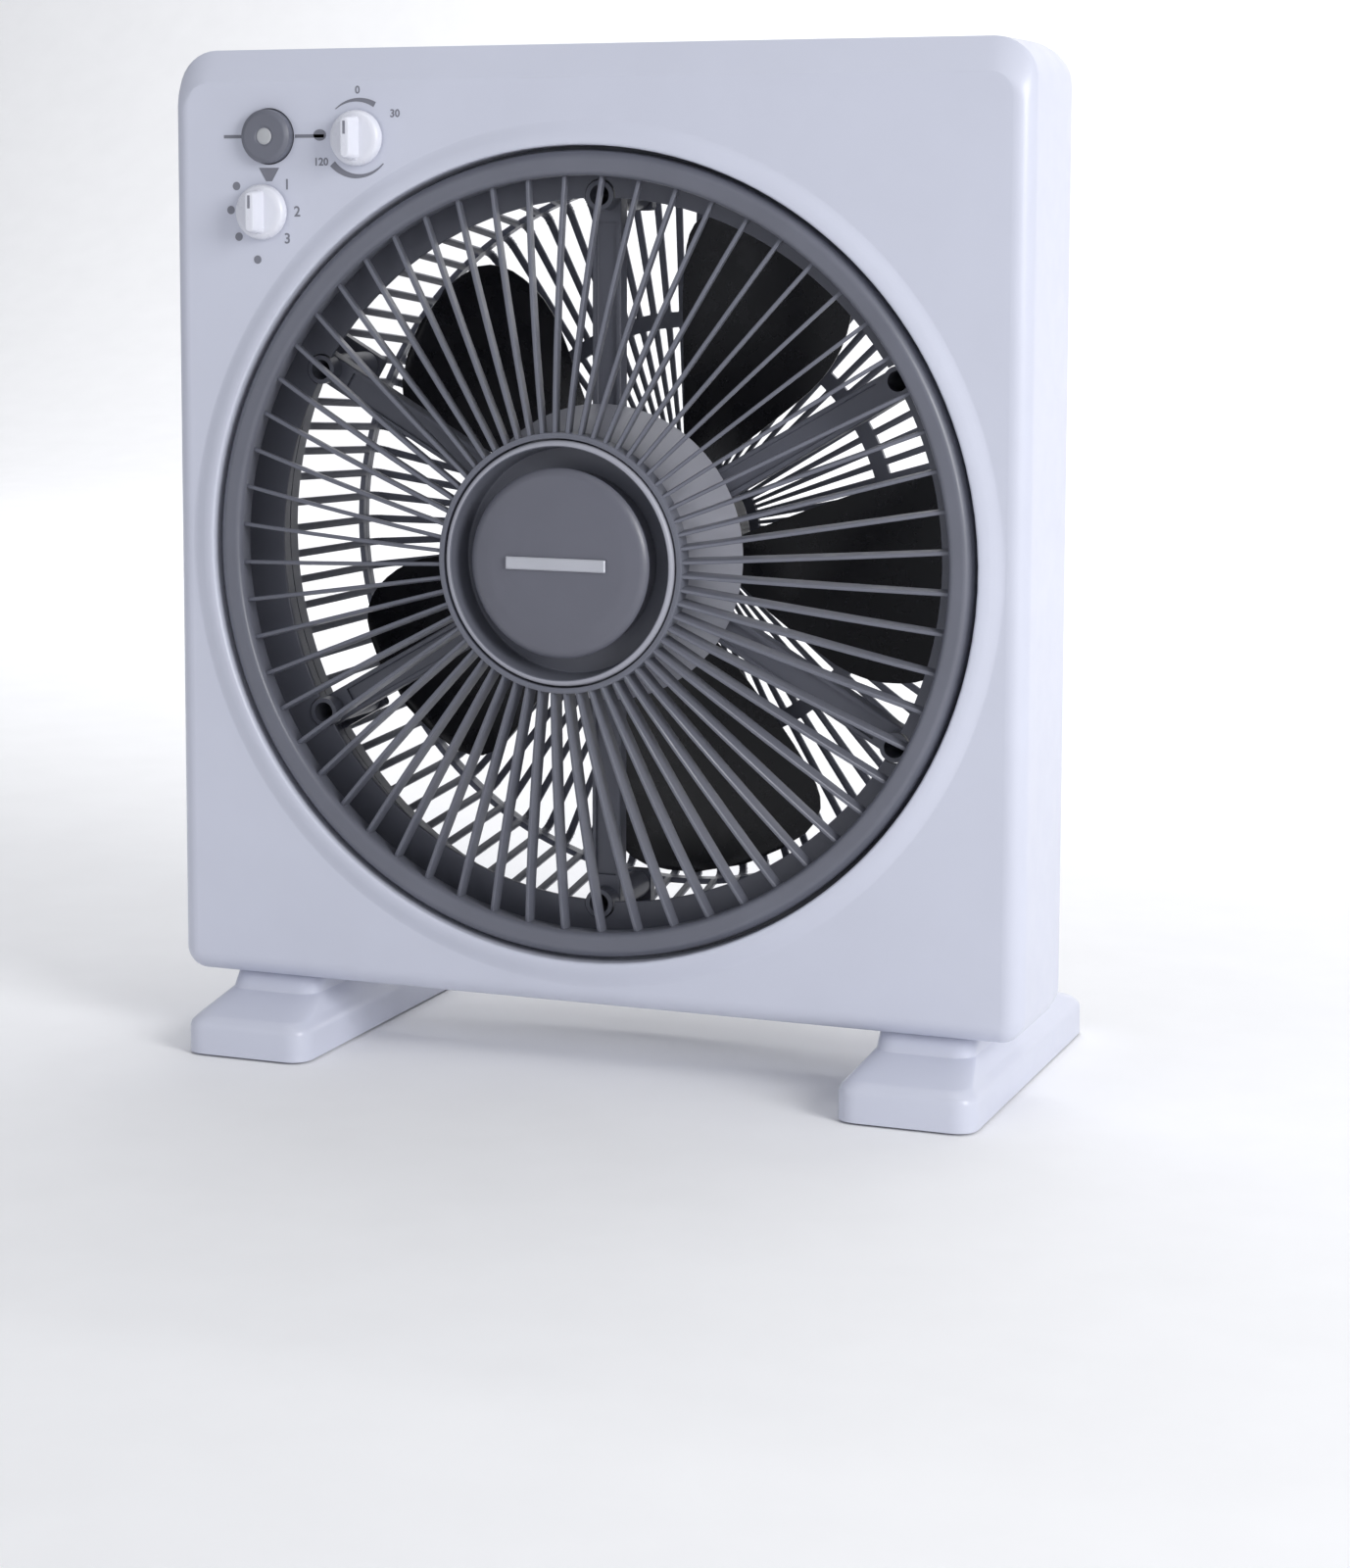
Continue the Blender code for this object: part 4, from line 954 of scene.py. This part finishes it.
def make_foot(name, node):
    """A hollow foot: a low base whose shoulders rise to a narrow neck under the housing."""
    centre = Vector((middle(node).x, 0.0, 0.0))
    levels = foot_levels()
    outer = [foot_outline(h, FOOT_HALF - inset, front, back, FOOT_CORNER)
             for h, inset, front, back in levels]
    hollow_half = FOOT_HALF - WALL
    inner = [foot_outline(h - WALL, hollow_half - inset, front + WALL, back - WALL, FOOT_HOLLOW_CORNER)
             for h, inset, front, back in levels[1:]]
    rim = levels[0]
    base = foot_outline(rim[0], hollow_half, rim[2] + WALL, rim[3] - WALL, FOOT_HOLLOW_CORNER)
    bm = bmesh.new()
    skin(bm, inner[::-1] + [base] + outer, wrap=False)
    foot = add_piece(name, bm, "housing_white", centre)
    bosses = bmesh.new()
    cups = bmesh.new()
    for y in (-PAD_REACH, PAD_REACH):
        for tool, radius, low, high in ((bosses, 0.0095, 0.0010, 0.0166),
                                        (cups, 0.0078, -0.002, 0.0025)):
            loops = [[Vector((radius * math.cos(a), y + radius * math.sin(a), z)) for a in
                      (math.tau * i / 40 for i in range(40))] for z in (low, high)]
            skin(tool, loops, wrap=False)
    combine(foot, bosses, "UNION")
    combine(foot, cups, "DIFFERENCE")
    settle(foot, "root", node)


def upright(profile, sides, name, finish, place):
    """A turned piece whose axis stands upright; the profile holds (radius, height)."""
    bm = bmesh.new()
    loops = []
    for point in soften([(r, h, 0.0) for r, h in profile], 0.0004, 3):
        loops.append([Vector((point.x * math.cos(a), point.x * math.sin(a), point.y)) for a in
                      (math.tau * i / sides for i in range(sides))])
    skin(bm, loops, wrap=True)
    return add_piece(name, bm, finish, place)


def make_foot_pads():
    """Rubber pads with a groove around their tread."""
    pad = ((0.0, 0.0), (0.0060, 0.0), (0.0062, 0.0004), (0.0066, 0.0004), (0.0068, 0.0),
           (0.0075, 0.0004), (0.0075, 0.0022), (0.0, 0.0022))
    for number in range(1, 5):
        centre = middle(f"foot_pad_{number}")
        place = Vector((centre.x, centre.y, 0.0))
        settle(upright(pad, 40, f"pad_{number}", "rubber", place), "root", f"foot_pad_{number}")


# ---- screws ----
def make_screw(name, node, head_front, tip, head_height=0.0022):
    """A domed screw with a cross recess; its tip may lie in front of its head or behind it."""
    head_radius, shank_radius = 0.0036, 0.0016
    way = math.copysign(1.0, tip - head_front)
    under = head_front + way * head_height
    profile = ((0.0, head_front), (head_radius * 0.6, head_front + way * 0.0002),
               (head_radius, head_front + way * head_height * 0.6), (head_radius, under),
               (shank_radius, under), (shank_radius, tip), (0.0, tip))
    screw = turned(name, profile, "steel", 24, 0.0004, 2, local(seen_at(node)))
    low, high = sorted((head_front - way * 0.001, head_front + way * 0.0011))
    for wide, tall in ((0.0019, 0.00035), (0.00035, 0.0019)):
        recess = bmesh.new()
        add_bar(recess, (-wide, low, -tall), (wide, high, tall), 0.0001, 1)
        combine(screw, recess, "DIFFERENCE")
    settle(screw, "root", node)


def make_screws():
    plate_head = 0.0018
    for number in range(1, 5):
        make_screw(f"back_screw_{number}", f"housing_screw_{number}", REAR_DEPTH + 0.0025, 0.052)
    for number in range(1, ARMS + 1):
        make_screw(f"arm_screw_{number}", f"spider_screw_{number}", 0.0475, 0.0695)
    for number in range(1, 4):
        make_screw(f"plate_screw_{number}", f"motor_screw_{number}",
                   SPIDER_FRONT - GAP - plate_head, 0.0373, plate_head)


# ---- CAD pieces that stay ----
def finish_kept_nodes():
    """Give every CAD node its finish, and soften the edges of those that are blocks."""
    for part in frame["record"]["subparts"]:
        node = frame["nodes"][part["node"]]
        node.data.materials.clear()
        node.data.materials.append(finishes[part["material_slot"]])
    for name in ("carry_handle", "run_capacitor", "timer_case", "speed_switch_case",
                 "louvre_switch_case", "switch_bracket", "louvre_motor_case", "louvre_motor_lid"):
        bevel = frame["nodes"][name].modifiers.new("Soft edges", "BEVEL")
        bevel.width = 0.0004
        bevel.segments = 2
        bevel.limit_method = "ANGLE"
        bevel.angle_limit = math.radians(40)


# ---- studio ----
def add_light(name, place, size, power, colour=(1.0, 1.0, 1.0), target=(0.0, 0.0, 0.2)):
    lamp = bpy.data.lights.new(name, "AREA")
    lamp.shape = "RECTANGLE"
    lamp.size, lamp.size_y = size
    lamp.energy = power
    lamp.color = colour
    piece = bpy.data.objects.new(name, lamp)
    piece.location = place
    piece.rotation_euler = (Vector(target) - Vector(place)).to_track_quat("-Z", "Y").to_euler()
    bpy.context.scene.collection.objects.link(piece)


def make_floor():
    """A pale floor that curves up into a wall behind the fan."""
    bm = bmesh.new()
    rows = []
    for share in range(15):
        turn = math.pi / 2 * share / 14
        rows.append((2.5 + 1.5 * math.sin(turn), 1.5 * (1 - math.cos(turn))))
    sweep = [(-6.0, 0.0)] + rows + [(4.0, 8.0)]
    lines = [[bm.verts.new((x, y, z)) for x in (-8.0, 8.0)] for y, z in sweep]
    for near, far in zip(lines, lines[1:]):
        bm.faces.new((near[0], near[1], far[1], far[0]))
    mesh = bpy.data.meshes.new("studio_floor")
    bm.to_mesh(mesh)
    bm.free()
    mesh.shade_smooth()
    mesh.materials.append(surface("studio_paper", (0.93, 0.93, 0.94), 0.85, mottle=0.01, grain=0.02))
    floor = bpy.data.objects.new("studio_floor", mesh)
    bpy.context.scene.collection.objects.link(floor)


def make_studio():
    make_floor()
    add_light("key", (2.0, -1.15, 1.0), (0.9, 1.2), 36.0)
    add_light("fill", (-1.6, -2.2, 0.9), (1.6, 1.6), 5.0, (0.9, 0.93, 1.0))
    add_light("top", (0.2, 0.2, 2.3), (1.8, 1.8), 10.0)
    add_light("back", (0.0, 1.6, 2.4), (3.0, 1.2), 70.0, target=(0.0, 3.6, 0.3))
    world = bpy.data.worlds.new("studio")
    world.use_nodes = True
    world.node_tree.nodes["Background"].inputs["Color"].default_value = (0.93, 0.95, 1.0, 1.0)
    world.node_tree.nodes["Background"].inputs["Strength"].default_value = 0.42
    scene = bpy.context.scene
    scene.world = world
    scene.view_settings.view_transform = "Standard"


def make_camera():
    """Seen from the right of the front and slightly above, aimed at the louvre's middle."""
    azimuth, elevation, distance = math.radians(22.0), math.radians(6.0), 1.386
    lens = bpy.data.cameras.new("camera")
    lens.sensor_fit = "VERTICAL"
    lens.sensor_height = 36.0
    lens.lens = 76.6
    lens.shift_x = 0.0606
    lens.shift_y = -0.144
    camera = bpy.data.objects.new("camera", lens)
    away = Vector((math.sin(azimuth) * math.cos(elevation), -math.cos(azimuth) * math.cos(elevation),
                   math.sin(elevation)))
    camera.location = AXIS + away * distance
    camera.rotation_euler = (-away).to_track_quat("-Z", "Y").to_euler()
    bpy.context.scene.collection.objects.link(camera)
    bpy.context.scene.camera = camera


def main():
    make_camera()
    make_studio()
    finish_kept_nodes()
    make_front_housing()
    make_rear_housing()
    make_cord_gland()
    make_duct_ring()
    make_motor_spider()
    make_rear_guard()
    make_motor_shells()
    make_fan_rotor()
    make_louvre_grille()
    make_louvre_centre()
    make_knob("timer_dial_knob", "timer_knob", "timer_dial", TIMER_AT)
    make_knob("speed_dial_knob", "speed_knob", "speed_dial", SPEED_AT)
    make_button()
    make_dial_marks()
    make_foot("left_foot", "foot_left")
    make_foot("right_foot", "foot_right")
    make_foot_pads()
    make_screws()


main()
